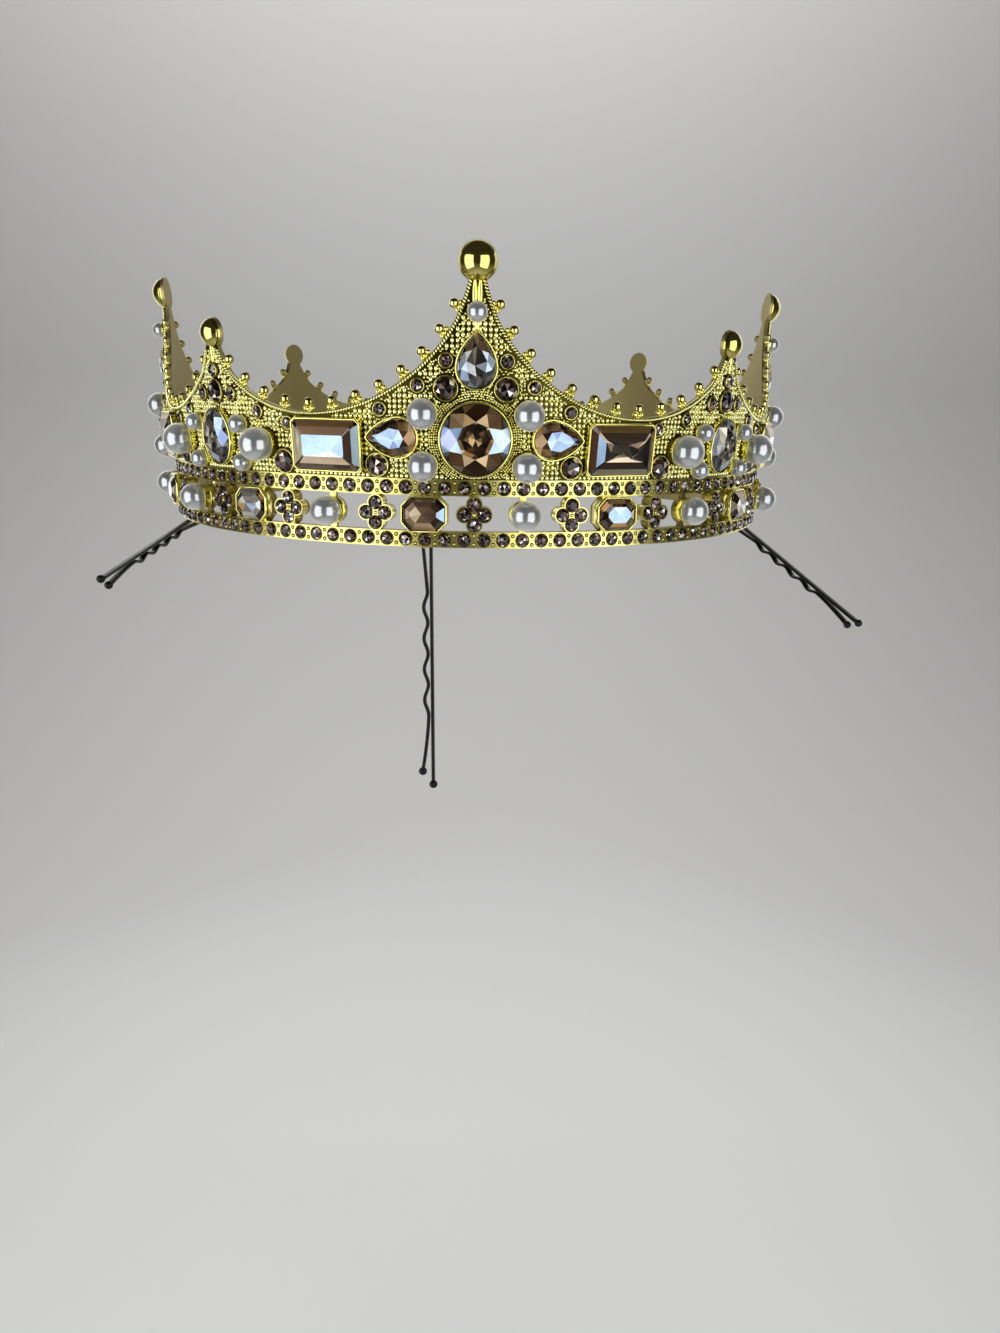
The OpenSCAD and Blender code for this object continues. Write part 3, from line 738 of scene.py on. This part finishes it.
def small_stone(d, seat, rise):
    """A small brilliant: a table in eight parts, as its back facets show through, stars and girdle facets."""
    verts = [(0, 0, seat + rise)]
    for i, (x, y) in enumerate(oval_outline(d * 0.58, d * 0.58, 8)):
        verts.append((x, y, seat + rise * (0.82 if i % 2 else 0.98)))
    verts += [(x, y, seat + rise * 0.62) for x, y in oval_outline(d * 0.82, d * 0.82, 8, 0.5)]
    verts += [(x, y, seat) for x, y in oval_outline(d, d, 16)]
    faces = []
    for i in range(8):
        j, k, a = (i + 1) % 8, (i - 1) % 8, 17 + 2 * i
        faces += [(0, 1 + i, 1 + j), (1 + i, 9 + i, 1 + j), (1 + i, 9 + k, a, 9 + i)]
        faces += [(9 + i, a, a + 1), (9 + i, a + 1, 17 + (2 * i + 2) % 16)]
    return np.array(verts, float), faces


def set_stone(stones, rims, d, place, r, seat, n, rim, lift):
    """Adds a small stone, and a rim that rises by lift above its girdle."""
    form = small_stone(d * 1.02, seat, 0.26 * d)
    stones.add(form, place @ turn(r.uniform(0, 45)), [smoky(r) for _ in form[1]])
    inner, height = d * 0.51, seat + lift
    rims.add(lathe([
        (inner + rim + 0.04, -0.02), (inner + rim, height - 0.14), (inner + rim * 0.75, height - 0.02),
        (inner + rim * 0.3, height), (inner, height - 0.12)], n), place)


collars = Pile()
for kind, names, first, chips, middle in (
    ("peak", SIDES, 0.0, PEAK_CHIPS, []), ("corner", CORNERS, POINT_TURN, CORNER_CHIPS, MIDDLE_CHIPS)
):
    for k, name in enumerate(names):
        r = random.Random(name)
        stones, rims = Pile(), Pile()
        for arc, z, d in [(s * a, z, d) for a, z, d in chips for s in (-1, 1)] + middle:
            place = on_wall(first + k * 90 + arc_deg(arc), z)
            set_stone(stones, rims, d, place, r, POCKET_Z, n=24, rim=0.19, lift=0.14)
            # The collar round each chip is dark gold, as painted shade
            collars.add(lathe([(d / 2 + 0.36, 0.15), (d / 2 + 0.34, 0.55), (d * 0.51 + 0.2, 0.6)], 24), place)
        node = "%s_chips_%s" % (kind, name)
        stones.piece("cut_" + node, SMOKY, "smoky_glass", replaced=[node])
        rims.piece("%s_chip_rims_%s" % (kind, name), GOLD)
collars.piece("chip_collars", GOLD_PAINTED_SHADE)

RAIL_STONES, RAIL_STONE_D, RAIL_DOT_Z = 120, 2.75, 0.95
DOT = lathe([(0.26, 0.0), (0.22, 0.1), (0.1, 0.16), (0, 0.17)], 10)
# A thin dark disc round each dot: painted shade standing for a groove
GROOVE_SHADE = lathe([(0.47, 0.0), (0.46, 0.03), (0, 0.03)], 14)
stones, rims, dots, groove_shades = Pile(), Pile(), Pile(), Pile()
r = random.Random(11)
for z in (RAIL_H / 2, UPPER_Z + RAIL_H / 2):
    for i in range(RAIL_STONES):
        deg = (i + 0.5) * 360 / RAIL_STONES
        place = on_band(deg, RAIL_R, z)
        set_stone(stones, rims, RAIL_STONE_D, place, r, SMALL_SEAT, n=20, rim=0.17, lift=0.09)
        for dz in (-RAIL_DOT_Z, RAIL_DOT_Z):
            place = on_band(deg + 180 / RAIL_STONES, RAIL_R, z + dz)
            dots.add(DOT, place)
            groove_shades.add(GROOVE_SHADE, place)
stones.piece("rail_stones", SMOKY, "smoky_glass")
# The rails' stone rims are dark gold, as painted shade round each stone
rims.piece("rail_stone_rims", GOLD_PAINTED_SHADE)
dots.piece("rail_dots", GOLD)
groove_shades.piece("rail_groove_shades", GOLD_PAINTED_SHADE)

CLOVER_LOBE, CLOVER_OUT, CLOVER_STONE_D = 2.15, 1.3, 2.9
HEART = lathe([(0.42, 0.0), (0.36, 0.22), (0.2, 0.36), (0, 0.42)], 10)
stones, rims, hearts = Pile(), Pile(), Pile()
for i in range(0, BAND_PLACES, 2):
    middle = on_band(i * BAND_STEP, RAIL_R + CLOVER_OUT)
    for a in range(0, 360, 90):
        place = middle @ turn(a) @ shift(CLOVER_LOBE, 0, 0)
        set_stone(stones, rims, CLOVER_STONE_D, place, r, SMALL_SEAT, n=20, rim=0.1, lift=0.09)
    hearts.add(HEART, middle)
stones.piece("clover_stones", SMOKY, "smoky_glass")
# The clovers' rims are dark gold, as painted shade round each stone
rims.piece("clover_rims", GOLD_PAINTED_SHADE)
hearts.piece("clover_hearts", GOLD)


# Pearls, and the cups that hold them

PEARL_SEAT, CUP_DROP = 0.1, 0.42


def ball(d, n=40, rows=20):
    steps = [math.pi * i / rows for i in range(1, rows)]
    arc = [(d / 2 * math.sin(t), -d / 2 * math.cos(t)) for t in steps]
    return lathe([(0, -d / 2)] + arc + [(0, d / 2)], n)


def pearl_cup(d):
    """A dish whose lip lies CUP_DROP of the pearl's radius under the pearl's middle."""
    lip = PEARL_SEAT + d / 2 * (1 - CUP_DROP)
    r = d / 2 * math.sqrt(1 - CUP_DROP ** 2) + 0.05
    return lathe([(r * 0.86, -0.1), (r * 0.86 + 0.15, 0.25), (r * 0.92, lip * 0.5), (r + 0.2, lip - 0.12),
                  (r + 0.12, lip), (r, lip - 0.06), (r - 0.5, lip * 0.5)], 32)


def set_pearls(name, node, places):
    """Makes one piece of pearls, each of a diameter and at a place, and adds their cups."""
    pearls = Pile()
    for d, place in places:
        pearls.add(ball(d), place @ shift(0, 0, d / 2 + PEARL_SEAT))
        cups.add(pearl_cup(d), place)
    pearls.piece(name, PEARL, "pearl", replaced=[node])


cups = Pile()
for k, (side, corner) in enumerate(zip(SIDES, CORNERS)):
    deg = k * 90.0
    peak = [(MID_PEARL, on_wall(deg + arc_deg(s * a), z)) for a, z in PEAK_PEARLS for s in (-1, 1)]
    peak.append((TOP_PEARL, on_wall(deg, TOP_PEARL_Z)))
    set_pearls("pearls_peak_" + side, "peak_pearls_" + side, peak)
    deg += POINT_TURN
    tiny = [(TINY_PEARL, on_wall(deg + arc_deg(s * a), z)) for a, z in TINY_PEARLS for s in (-1, 1)]
    set_pearls("pearls_corner_" + corner, "corner_pearls_" + corner, tiny)
    for half, sign in HALVES.items():
        name = "%s_%s" % (corner, half)
        place = on_wall(deg + sign * arc_deg(BIG_PEARL[0]), BIG_PEARL[1])
        set_pearls("pearl_big_" + name, "big_pearl_" + name, [(BIG_PEARL_D, place)])
band = [(BAND_PEARL, on_band(i * BAND_STEP, RING_R)) for i in range(1, BAND_PLACES, 4)]
set_pearls("pearls_band", "band_pearls", band)
cups.piece("pearl_cups", GOLD)


# Relief of the wall: pips in columns, a stippled ring round each round stone, grains in the gaps, a twisted
# cord along the edge, and grains beside the edge's beads

TALL_NECK_Z, SHORT_NECK_Z, LEAFLET_Z = 52.4, 40.6, 46.3
TALL_NECK, SHORT_NECK = (2.9, 6.6), (1.7, 5.0)


def edge_line(r, steps, taper, middle):
    """The wall's edge from a valley up to a point's ball: degrees from the valley, and height."""
    line = []
    for i in range(steps * EDGE_FINER + 1):
        t = math.radians(i * EDGE_STEP / EDGE_FINER)
        z = VALLEY_Z + r * (1 - math.cos(t))
        line.append((math.degrees(math.asin(r * math.sin(t) / wall_r(z))), z))
    return line + [(middle - math.degrees(half / wall_r(z)), z) for half, z in taper]


TALL_EDGE = edge_line(TALL_R, TALL_STEPS, TALL_TAPER, VALLEY_DEG)
SHORT_EDGE = edge_line(SHORT_R, SHORT_STEPS, SHORT_TAPER, POINT_TURN - VALLEY_DEG)
# The same line from the middle of a tall point to the middle of a short one, in millimetres on the wall
EDGE_MM = np.array([(math.radians(VALLEY_DEG - d) * wall_r(z), z) for d, z in reversed(TALL_EDGE)]
                   + [(math.radians(VALLEY_DEG + d) * wall_r(z), z) for d, z in SHORT_EDGE[1:]])


def from_edge(deg, z):
    """Distance of a place on the wall from its edge, and less than 0 outside it."""
    turned = abs((deg + 45) % 90 - 45)
    p = np.array((math.radians(turned) * wall_r(z), z))
    a, b = EDGE_MM[:-1], EDGE_MM[1:]
    t = np.clip(((p - a) * (b - a)).sum(1) / ((b - a) ** 2).sum(1), 0, 1)
    gap = p - (a + (b - a) * t[:, None])
    i = int((gap ** 2).sum(1).argmin())
    across = (b - a)[i]
    side = across[0] * gap[i][1] - across[1] * gap[i][0]
    return float(np.hypot(*gap[i])) * (-1 if side > 0 else 1)


def keep_outs():
    """What stands on a quarter of the wall: (degrees, height, outline or None, radius)."""
    rim, under_pearl, under_small_pearl, round_chip = 0.55, 0.35, 0.25, 0.45
    rounds = [(0.0, 0.0, ROUND_Z, ROUND_W / 2 + 0.6)]
    for middle, chips in ((0.0, PEAK_CHIPS), (POINT_TURN, CORNER_CHIPS + MIDDLE_CHIPS)):
        rounds += [(middle, arc, z, d / 2 + round_chip) for arc, z, d in chips]
    for middle, pearls, radius in (
        (0.0, PEAK_PEARLS, MID_PEARL / 2 - under_pearl),
        (0.0, [(0.0, TOP_PEARL_Z)], TOP_PEARL / 2 - under_small_pearl),
        (POINT_TURN, [BIG_PEARL], BIG_PEARL_D / 2 - under_pearl),
        (POINT_TURN, TINY_PEARLS, TINY_PEARL / 2 - under_small_pearl),
    ):
        rounds += [(middle, arc, z, radius) for arc, z in pearls]
    mirrored = [
        (side * middle + s * arc_deg(arc), z, None, radius)
        for middle, arc, z, radius in rounds for side in (-1, 1) for s in (-1, 1)
    ]
    found = list(dict.fromkeys(mirrored))
    found.append((0.0, DROP_Z, grown(drop_outline(DROP_W, DROP_L, 48), rim), 0))
    found.append((0.0, TALL_NECK_Z, oval_outline(*TALL_NECK, 24), 0))
    for sign in (-1, 1):
        pear = [(sign * y, -sign * x) for x, y in drop_outline(PEAR_W, PEAR_L, 48)]
        found.append((sign * arc_deg(PEAR_ARC), PEAR_Z, grown(pear, rim), 0))
        baguette = cut_rect(BAGUETTE_W + 2 * rim, BAGUETTE_H + 2 * rim, BAGUETTE_CUT)
        found.append((sign * BAGUETTE_TURN, BAGUETTE_Z, baguette, 0))
        short = sign * POINT_TURN
        found.append((short, OVAL_Z, oval_outline(OVAL_W + 2 * rim, OVAL_H + 2 * rim, 32), 0))
        found.append((short, SHORT_NECK_Z, oval_outline(*SHORT_NECK, 24), 0))
    return found


KEEP_OUTS = keep_outs()
# No outline among them reaches further from its middle, across and up
REACH_X, REACH_Y = 10, 8


def free(deg, z, extra, clear):
    """Whether a pip fits on the front quarter: extra from what stands there, and clear from the edge."""
    tall = abs(deg) < VALLEY_DEG
    under_ball = TALL_BALL_Z - TALL_BALL_D / 2 if tall else SHORT_BALL_Z - SHORT_BALL_D / 2
    if z > under_ball + 0.3 or from_edge(deg, z) < clear:
        return False
    for d0, z0, outline, radius in KEEP_OUTS:
        x, y = math.radians(deg - d0) * wall_r(z), (z - z0) / math.cos(math.radians(LEAN_DEG))
        if outline is None:
            if math.hypot(x, y) < radius + extra:
                return False
        elif abs(x) < REACH_X and abs(y) < REACH_Y and inside((x, y), outline):
            return False
    return True


def along(line, inward, step):
    """Places at even steps beside a line of (millimetres, height), with the line's slope there."""
    p = np.array(line)
    d = np.diff(p, axis=0)
    run = np.r_[0, np.cumsum(np.hypot(d[:, 0], d[:, 1]))]
    for at in np.arange(step / 2, run[-1], step):
        i = int(np.searchsorted(run, at)) - 1
        u = d[i] / np.hypot(*d[i])
        spot = p[i] + u * (at - run[i]) + np.array((u[1], -u[0])) * inward
        yield spot[0], spot[1], math.degrees(math.atan2(u[1], u[0]))


PITCH, COLUMNS, ROWS = 1.12, 118, 45
STIPPLE_RINGS, STIPPLE_PITCH = (0.86, 1.36, 1.86, 2.36), 0.54
FILL_DEG, FILL_Z, FILL_COLUMNS, FILL_ROWS = 0.3, 0.4, 150, 105
PIP = lathe([(0.47, -0.05), (0.44, 0.3), (0.28, 0.43), (0, 0.47)], 10)
GRAIN = lathe([(0.25, -0.05), (0.21, 0.17), (0, 0.3)], 7)
CELL = 1.2
spots, small, stipple, taken = [], [], [], {}


def apart(deg, z, gap):
    """Whether a grain stands clear of all that were placed before it; it is then counted among them."""
    x = math.radians(deg) * RING_R
    cell = int(x // CELL), int(z // CELL)
    for i in (-1, 0, 1):
        for j in (-1, 0, 1):
            for x0, z0, gap0 in taken.get((cell[0] + i, cell[1] + j), ()):
                if math.hypot(x - x0, z - z0) < gap + gap0:
                    return False
    taken.setdefault(cell, []).append((x, z, gap))
    return True


for c in range(-COLUMNS // 2, COLUMNS // 2):
    deg = (c + 0.5) * 90 / COLUMNS
    for row in range(ROWS):
        z = BAND_TOP + 0.6 + row * PITCH
        from_round = math.hypot(math.radians(deg) * wall_r(z), z - ROUND_Z)
        if from_round > ROUND_W / 2 + 2.7 and free(deg, z, 0.36, 1.3):
            spots.append((deg, z, random.uniform(0.93, 1.07)))
            apart(deg, z, 0.4)
for ring in STIPPLE_RINGS:
    rad = ROUND_W / 2 + ring
    count = round(2 * math.pi * rad / STIPPLE_PITCH)
    for i in range(count):
        t = 2 * math.pi * (i + random.uniform(-0.2, 0.2)) / count
        z = ROUND_Z + (rad + random.uniform(-0.07, 0.07)) * math.sin(t)
        deg = math.degrees(rad * math.cos(t) / wall_r(z))
        if z > BAND_TOP + 0.3 and free(deg, z, 0.12, 1.16) and apart(deg, z, 0.2):
            stipple.append((deg, z, math.degrees(t)))
for c in range(-FILL_COLUMNS, FILL_COLUMNS):
    for row in range(FILL_ROWS):
        deg = (c + random.random()) * FILL_DEG
        z = BAND_TOP + 0.3 + (row + random.random()) * FILL_Z
        if free(deg, z, 0.14, 1.14) and apart(deg, z, 0.23):
            small.append((deg, z, random.uniform(0, 360)))
for k, side in enumerate(SIDES):
    ground = Pile()
    for deg, z, size in spots:
        ground.add(PIP, on_wall(deg + k * 90, z) @ np.diag([0.9 * size, 1.12 * size, size, 1.0]))
    ground.piece("ground_pips_" + side, GOLD_PAINTED_HIGHLIGHT)
    grains = Pile()
    for deg, z, t in small:
        grains.add(GRAIN, on_wall(deg + k * 90, z, 0, t) @ np.diag([1.15, 1.1, 1.1, 1.0]))
    for deg, z, t in stipple:
        grains.add(GRAIN, on_wall(deg + k * 90, z, 0, t))
    grains.piece("stipple_" + side, GOLD_PAINTED_HIGHLIGHT)

CORD = lathe([(0.5, -0.1), (0.48, 0.24), (0.32, 0.45), (0, 0.54)], 8)
CORD_STEP, CORD_IN, CORD_TWIST, CORD_SIZE = 0.66, 0.43, 56, np.diag([0.98, 0.5, 1.05, 1.0])
# Rows of edge beads, as in the part's source: the edge's radius, degrees between beads, first, last, side
BEAD_ROWS, BEAD_STAND = ((TALL_R, 9.05, 0, 7, -1), (SHORT_R, 10.9, 1, 4, 1)), 1.9
cord, side_grains = Pile(), Pile()
for k in range(4):
    for sign in (-1, 1):
        for x, z, slope in along(EDGE_MM, CORD_IN, CORD_STEP):
            place = on_wall(k * 90 + sign * math.degrees(x / wall_r(z)), z, 0, sign * slope + CORD_TWIST)
            cord.add(CORD, place @ CORD_SIZE)
        for r_edge, pitch, first, last, towards in BEAD_ROWS:
            reach = r_edge - BEAD_STAND
            for i in range(first, last + 1):
                phi = math.radians(i * pitch)
                z = VALLEY_Z + r_edge - reach * math.cos(phi)
                swing = math.degrees(math.asin(reach * math.sin(phi) / (wall_r(z) - WALL_T / 2)))
                deg = k * 90 + sign * (VALLEY_DEG + towards * swing)
                place = on_wall(deg, z, -WALL_T / 2, sign * towards * i * pitch)
                for x in (-0.86, 0.86):
                    side_grains.add(ball(1.15, 12, 8), place @ shift(x, -1.25, 0.1))
                side_grains.add(ball(0.95, 12, 8), place @ shift(0, -1.35, 0.55))
cord.piece("edge_cord", GOLD_PAINTED_HIGHLIGHT)
side_grains.piece("edge_grains", GOLD)


# Leaves on the necks under the balls, and a small one under each top pearl

def leaf(w, l, h):
    """Half a long round form, narrower towards both ends."""
    n, rows = 9, 10
    verts, faces = [], []
    for j in range(rows + 1):
        y = -l / 2 + l * j / rows
        half = w / 2 * math.sin(math.pi * (0.08 + 0.84 * j / rows)) ** 0.6
        for i in range(n):
            a = math.pi * i / (n - 1)
            verts.append((half * math.cos(a), y, h * math.sin(a) * (half / (w / 2)) ** 0.5 - 0.05))
    for j in range(rows):
        for i in range(n - 1):
            faces.append((j * n + i + 1, j * n + i, j * n + n + i, j * n + n + i + 1))
    return np.array(verts, float), faces


necks = Pile()
for k in range(4):
    for x in (-0.56, 0.56):
        necks.add(leaf(1.16, 5.8, 0.55), on_wall(k * 90, TALL_NECK_Z) @ shift(x, 0, 0))
    necks.add(leaf(1.2, 1.7, 0.6), on_wall(k * 90, LEAFLET_Z))
    necks.add(leaf(1.3, 4.4, 0.6), on_wall(k * 90 + POINT_TURN, SHORT_NECK_Z))
necks.piece("neck_leaves", GOLD)


# Hair pins: the same wire as in the part's source, with rounded edges and ball tips

PIN_L, PIN_T, PIN_W, TIP_D = 57.0, 0.7, 1.4, 1.9
LEG_GAP, LEG_PINCH, HANG, FORK, CRIMPS = 2.0, 1.1, 1.3, 1.5, 4
CRIMP_PITCH, CRIMP_START, CRIMP_DEPTH, SHORT_LEG, WIRE_EDGE = 7.0, 13.0, 0.9, 3.0, 0.22
# Name, degrees round and radius and height of its hook, then heading, fall and roll in degrees
PINS = [
    ("front", -7.7, 78.1, 1.2, 6.0, -81.0, -14.0),
    ("right", 81.0, 78.0, -1.5, 22.5, -21.0, -90.0),
    ("left", -72.0, 78.0, -1.5, -8.5, -8.2, -90.0),
]


def leg_x(t):
    """How far the crimped leg stands from the straight one, at a distance down the pin."""
    u = (t - CRIMP_START) / CRIMP_PITCH
    crimp = CRIMP_DEPTH * (1 - math.cos(2 * math.pi * u)) / 2 if 0 < u < CRIMPS else 0.0
    first, last = CRIMP_START + CRIMPS * CRIMP_PITCH, PIN_L - SHORT_LEG
    fork = FORK * ((t - first) / (last - first)) ** 1.5 if t > first else 0.0
    return LEG_PINCH * min(1.0, t / CRIMP_START) - LEG_GAP - crimp - fork


def wire():
    """The wire swept up the straight leg, round the bend and down the crimped leg."""
    straight, bend, crimped = 40, 14, 130
    half = LEG_GAP / 2
    path = [(0.0, -PIN_L + PIN_L * i / straight) for i in range(straight)]
    for i in range(bend + 1):
        t = math.pi * i / bend
        path.append((half * (math.cos(t) - 1), half * math.sin(t)))
    path += [(leg_x(t), -t) for t in ((PIN_L - SHORT_LEG) * i / crimped for i in range(1, crimped + 1))]
    section = []
    x, y = PIN_T / 2 - WIRE_EDGE, PIN_W / 2 - WIRE_EDGE
    for cx, cy, a0 in ((x, y, 0), (-x, y, 90), (-x, -y, 180), (x, -y, 270)):
        for a in (0, 30, 60, 90):
            t = math.radians(a0 + a)
            section.append((cx + WIRE_EDGE * math.cos(t), cy + WIRE_EDGE * math.sin(t)))
    verts, faces, n = [], [], len(section)
    p = np.array(path)
    for i in range(len(p)):
        d = p[min(i + 1, len(p) - 1)] - p[max(i - 1, 0)]
        d /= np.hypot(*d)
        verts += [(p[i][0] - d[1] * u, p[i][1] + d[0] * u, w) for u, w in section]
    for i in range(len(p) - 1):
        for j in range(n):
            m = (j + 1) % n
            faces.append((i * n + j, i * n + m, (i + 1) * n + m, (i + 1) * n + j))
    faces += [tuple(range(n - 1, -1, -1)), tuple(range((len(p) - 1) * n, len(p) * n))]
    return np.array(verts, float), faces


for name, deg, rad, z, heading, fall, roll in PINS:
    t = math.radians(deg)
    hook = shift(rad * math.sin(t), -rad * math.cos(t), z) @ turn(heading) @ turn(-(90 + fall), "X")
    place = hook @ turn(roll) @ shift(LEG_GAP / 2, 0, HANG) @ turn(90, "X")
    pin = Pile()
    pin.add(wire(), place)
    pin.add(ball(TIP_D, 24, 12), place @ shift(0, -PIN_L, 0))
    pin.add(ball(TIP_D, 24, 12), place @ shift(leg_x(PIN_L - SHORT_LEG), SHORT_LEG - PIN_L, 0))
    pin.piece("pin_" + name, ENAMEL, "black_enamel", replaced=["hair_pin_" + name])


# The frame's own solid, with its material

frame_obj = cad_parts["frame"]
frame_obj.data.materials.clear()
frame_obj.data.materials.append(GOLD_FRAME)


# Floor, light and camera, in metres

def sweep():
    """A pale floor that curves up into a backdrop."""
    floor_z, front, back, top, bend, half_width = -0.3, -2.2, 0.75, 1.3, 0.35, 2.5
    line = [(front, floor_z), (back - bend, floor_z)]
    for deg in range(10, 91, 10):
        t = math.radians(deg)
        line.append((back - bend + bend * math.sin(t), floor_z + bend - bend * math.cos(t)))
    line.append((back, top))
    n = len(line)
    mesh = bpy.data.meshes.new("floor")
    mesh.from_pydata([(x, y, z) for x in (-half_width, half_width) for y, z in line], [],
                     [(i, n + i, n + i + 1, i + 1) for i in range(n - 1)])
    mesh.shade_smooth()
    mesh.materials.append(Shader("floor_pale", Base_Color=(0.62, 0.62, 0.61, 1.0), Roughness=0.8).material)
    obj = bpy.data.objects.new("floor", mesh)
    bpy.context.scene.collection.objects.link(obj)


AIM = Vector((0.0, -0.085, 0.02))
COOL, NEUTRAL, WARM = (0.92, 0.96, 1.0), (0.95, 0.97, 1.0), (1.0, 0.99, 0.97)


def round_crown(azimuth, height, far):
    """A place round the front of the crown: degrees from the front towards +X, degrees up, distance."""
    a, h = math.radians(azimuth), math.radians(height)
    return AIM + far * Vector((math.sin(a) * math.cos(h), -math.cos(a) * math.cos(h), math.sin(h)))


def softbox(name, place, size, power, colour, aim=AIM, mirrored=True):
    """A rectangular light that faces its aim: its sides in metres and its power in watts."""
    data = bpy.data.lights.new(name, "AREA")
    data.shape = "RECTANGLE"
    data.size, data.size_y = size
    data.energy = power
    data.color = colour
    obj = bpy.data.objects.new(name, data)
    obj.location = place
    obj.rotation_mode = "QUATERNION"
    obj.rotation_quaternion = (aim - place).to_track_quat("-Z", "Y")
    obj.visible_glossy = mirrored
    obj.visible_camera = False
    bpy.context.scene.collection.objects.link(obj)


sweep()
softbox("left", round_crown(-56, -3, 0.3), (0.32, 0.39), 1.0, COOL)
softbox("right", round_crown(41, -3, 0.3), (0.31, 0.39), 0.92, COOL)
softbox("back_left", round_crown(-146, 6, 0.42), (0.3, 0.36), 0.35, NEUTRAL)
softbox("back_right", round_crown(134, 6, 0.42), (0.3, 0.36), 0.35, NEUTRAL)
softbox("top", Vector((0.0, 0.3, 1.0)), (0.8, 0.5), 10.5, WARM, Vector((0.0, 0.68, 0.0)), False)
world = bpy.data.worlds.new("studio")
world.use_nodes = True
background = world.node_tree.nodes["Background"]
background.inputs["Color"].default_value = (0.38, 0.34, 0.30, 1.0)
background.inputs["Strength"].default_value = 0.12
bpy.context.scene.world = world
bpy.context.scene.view_settings.view_transform = "Standard"

# The photograph's camera: its place, and its turns about X, Y and Z in degrees
CAMERA_AT = (-0.004578, -0.301498, 0.031528)
CAMERA_TURNS = (75.116776, -1.179083, -2.536665)
camera = bpy.data.cameras.new("camera")
camera.sensor_fit = "AUTO"
camera.sensor_width = 36.0
camera.lens = 27.03
camera.clip_start, camera.clip_end = 0.01, 20.0
view = bpy.data.objects.new("camera", camera)
turns = Euler([math.radians(deg) for deg in CAMERA_TURNS])
view.matrix_world = Matrix.Translation(CAMERA_AT) @ turns.to_matrix().to_4x4()
bpy.context.scene.collection.objects.link(view)
bpy.context.scene.camera = view
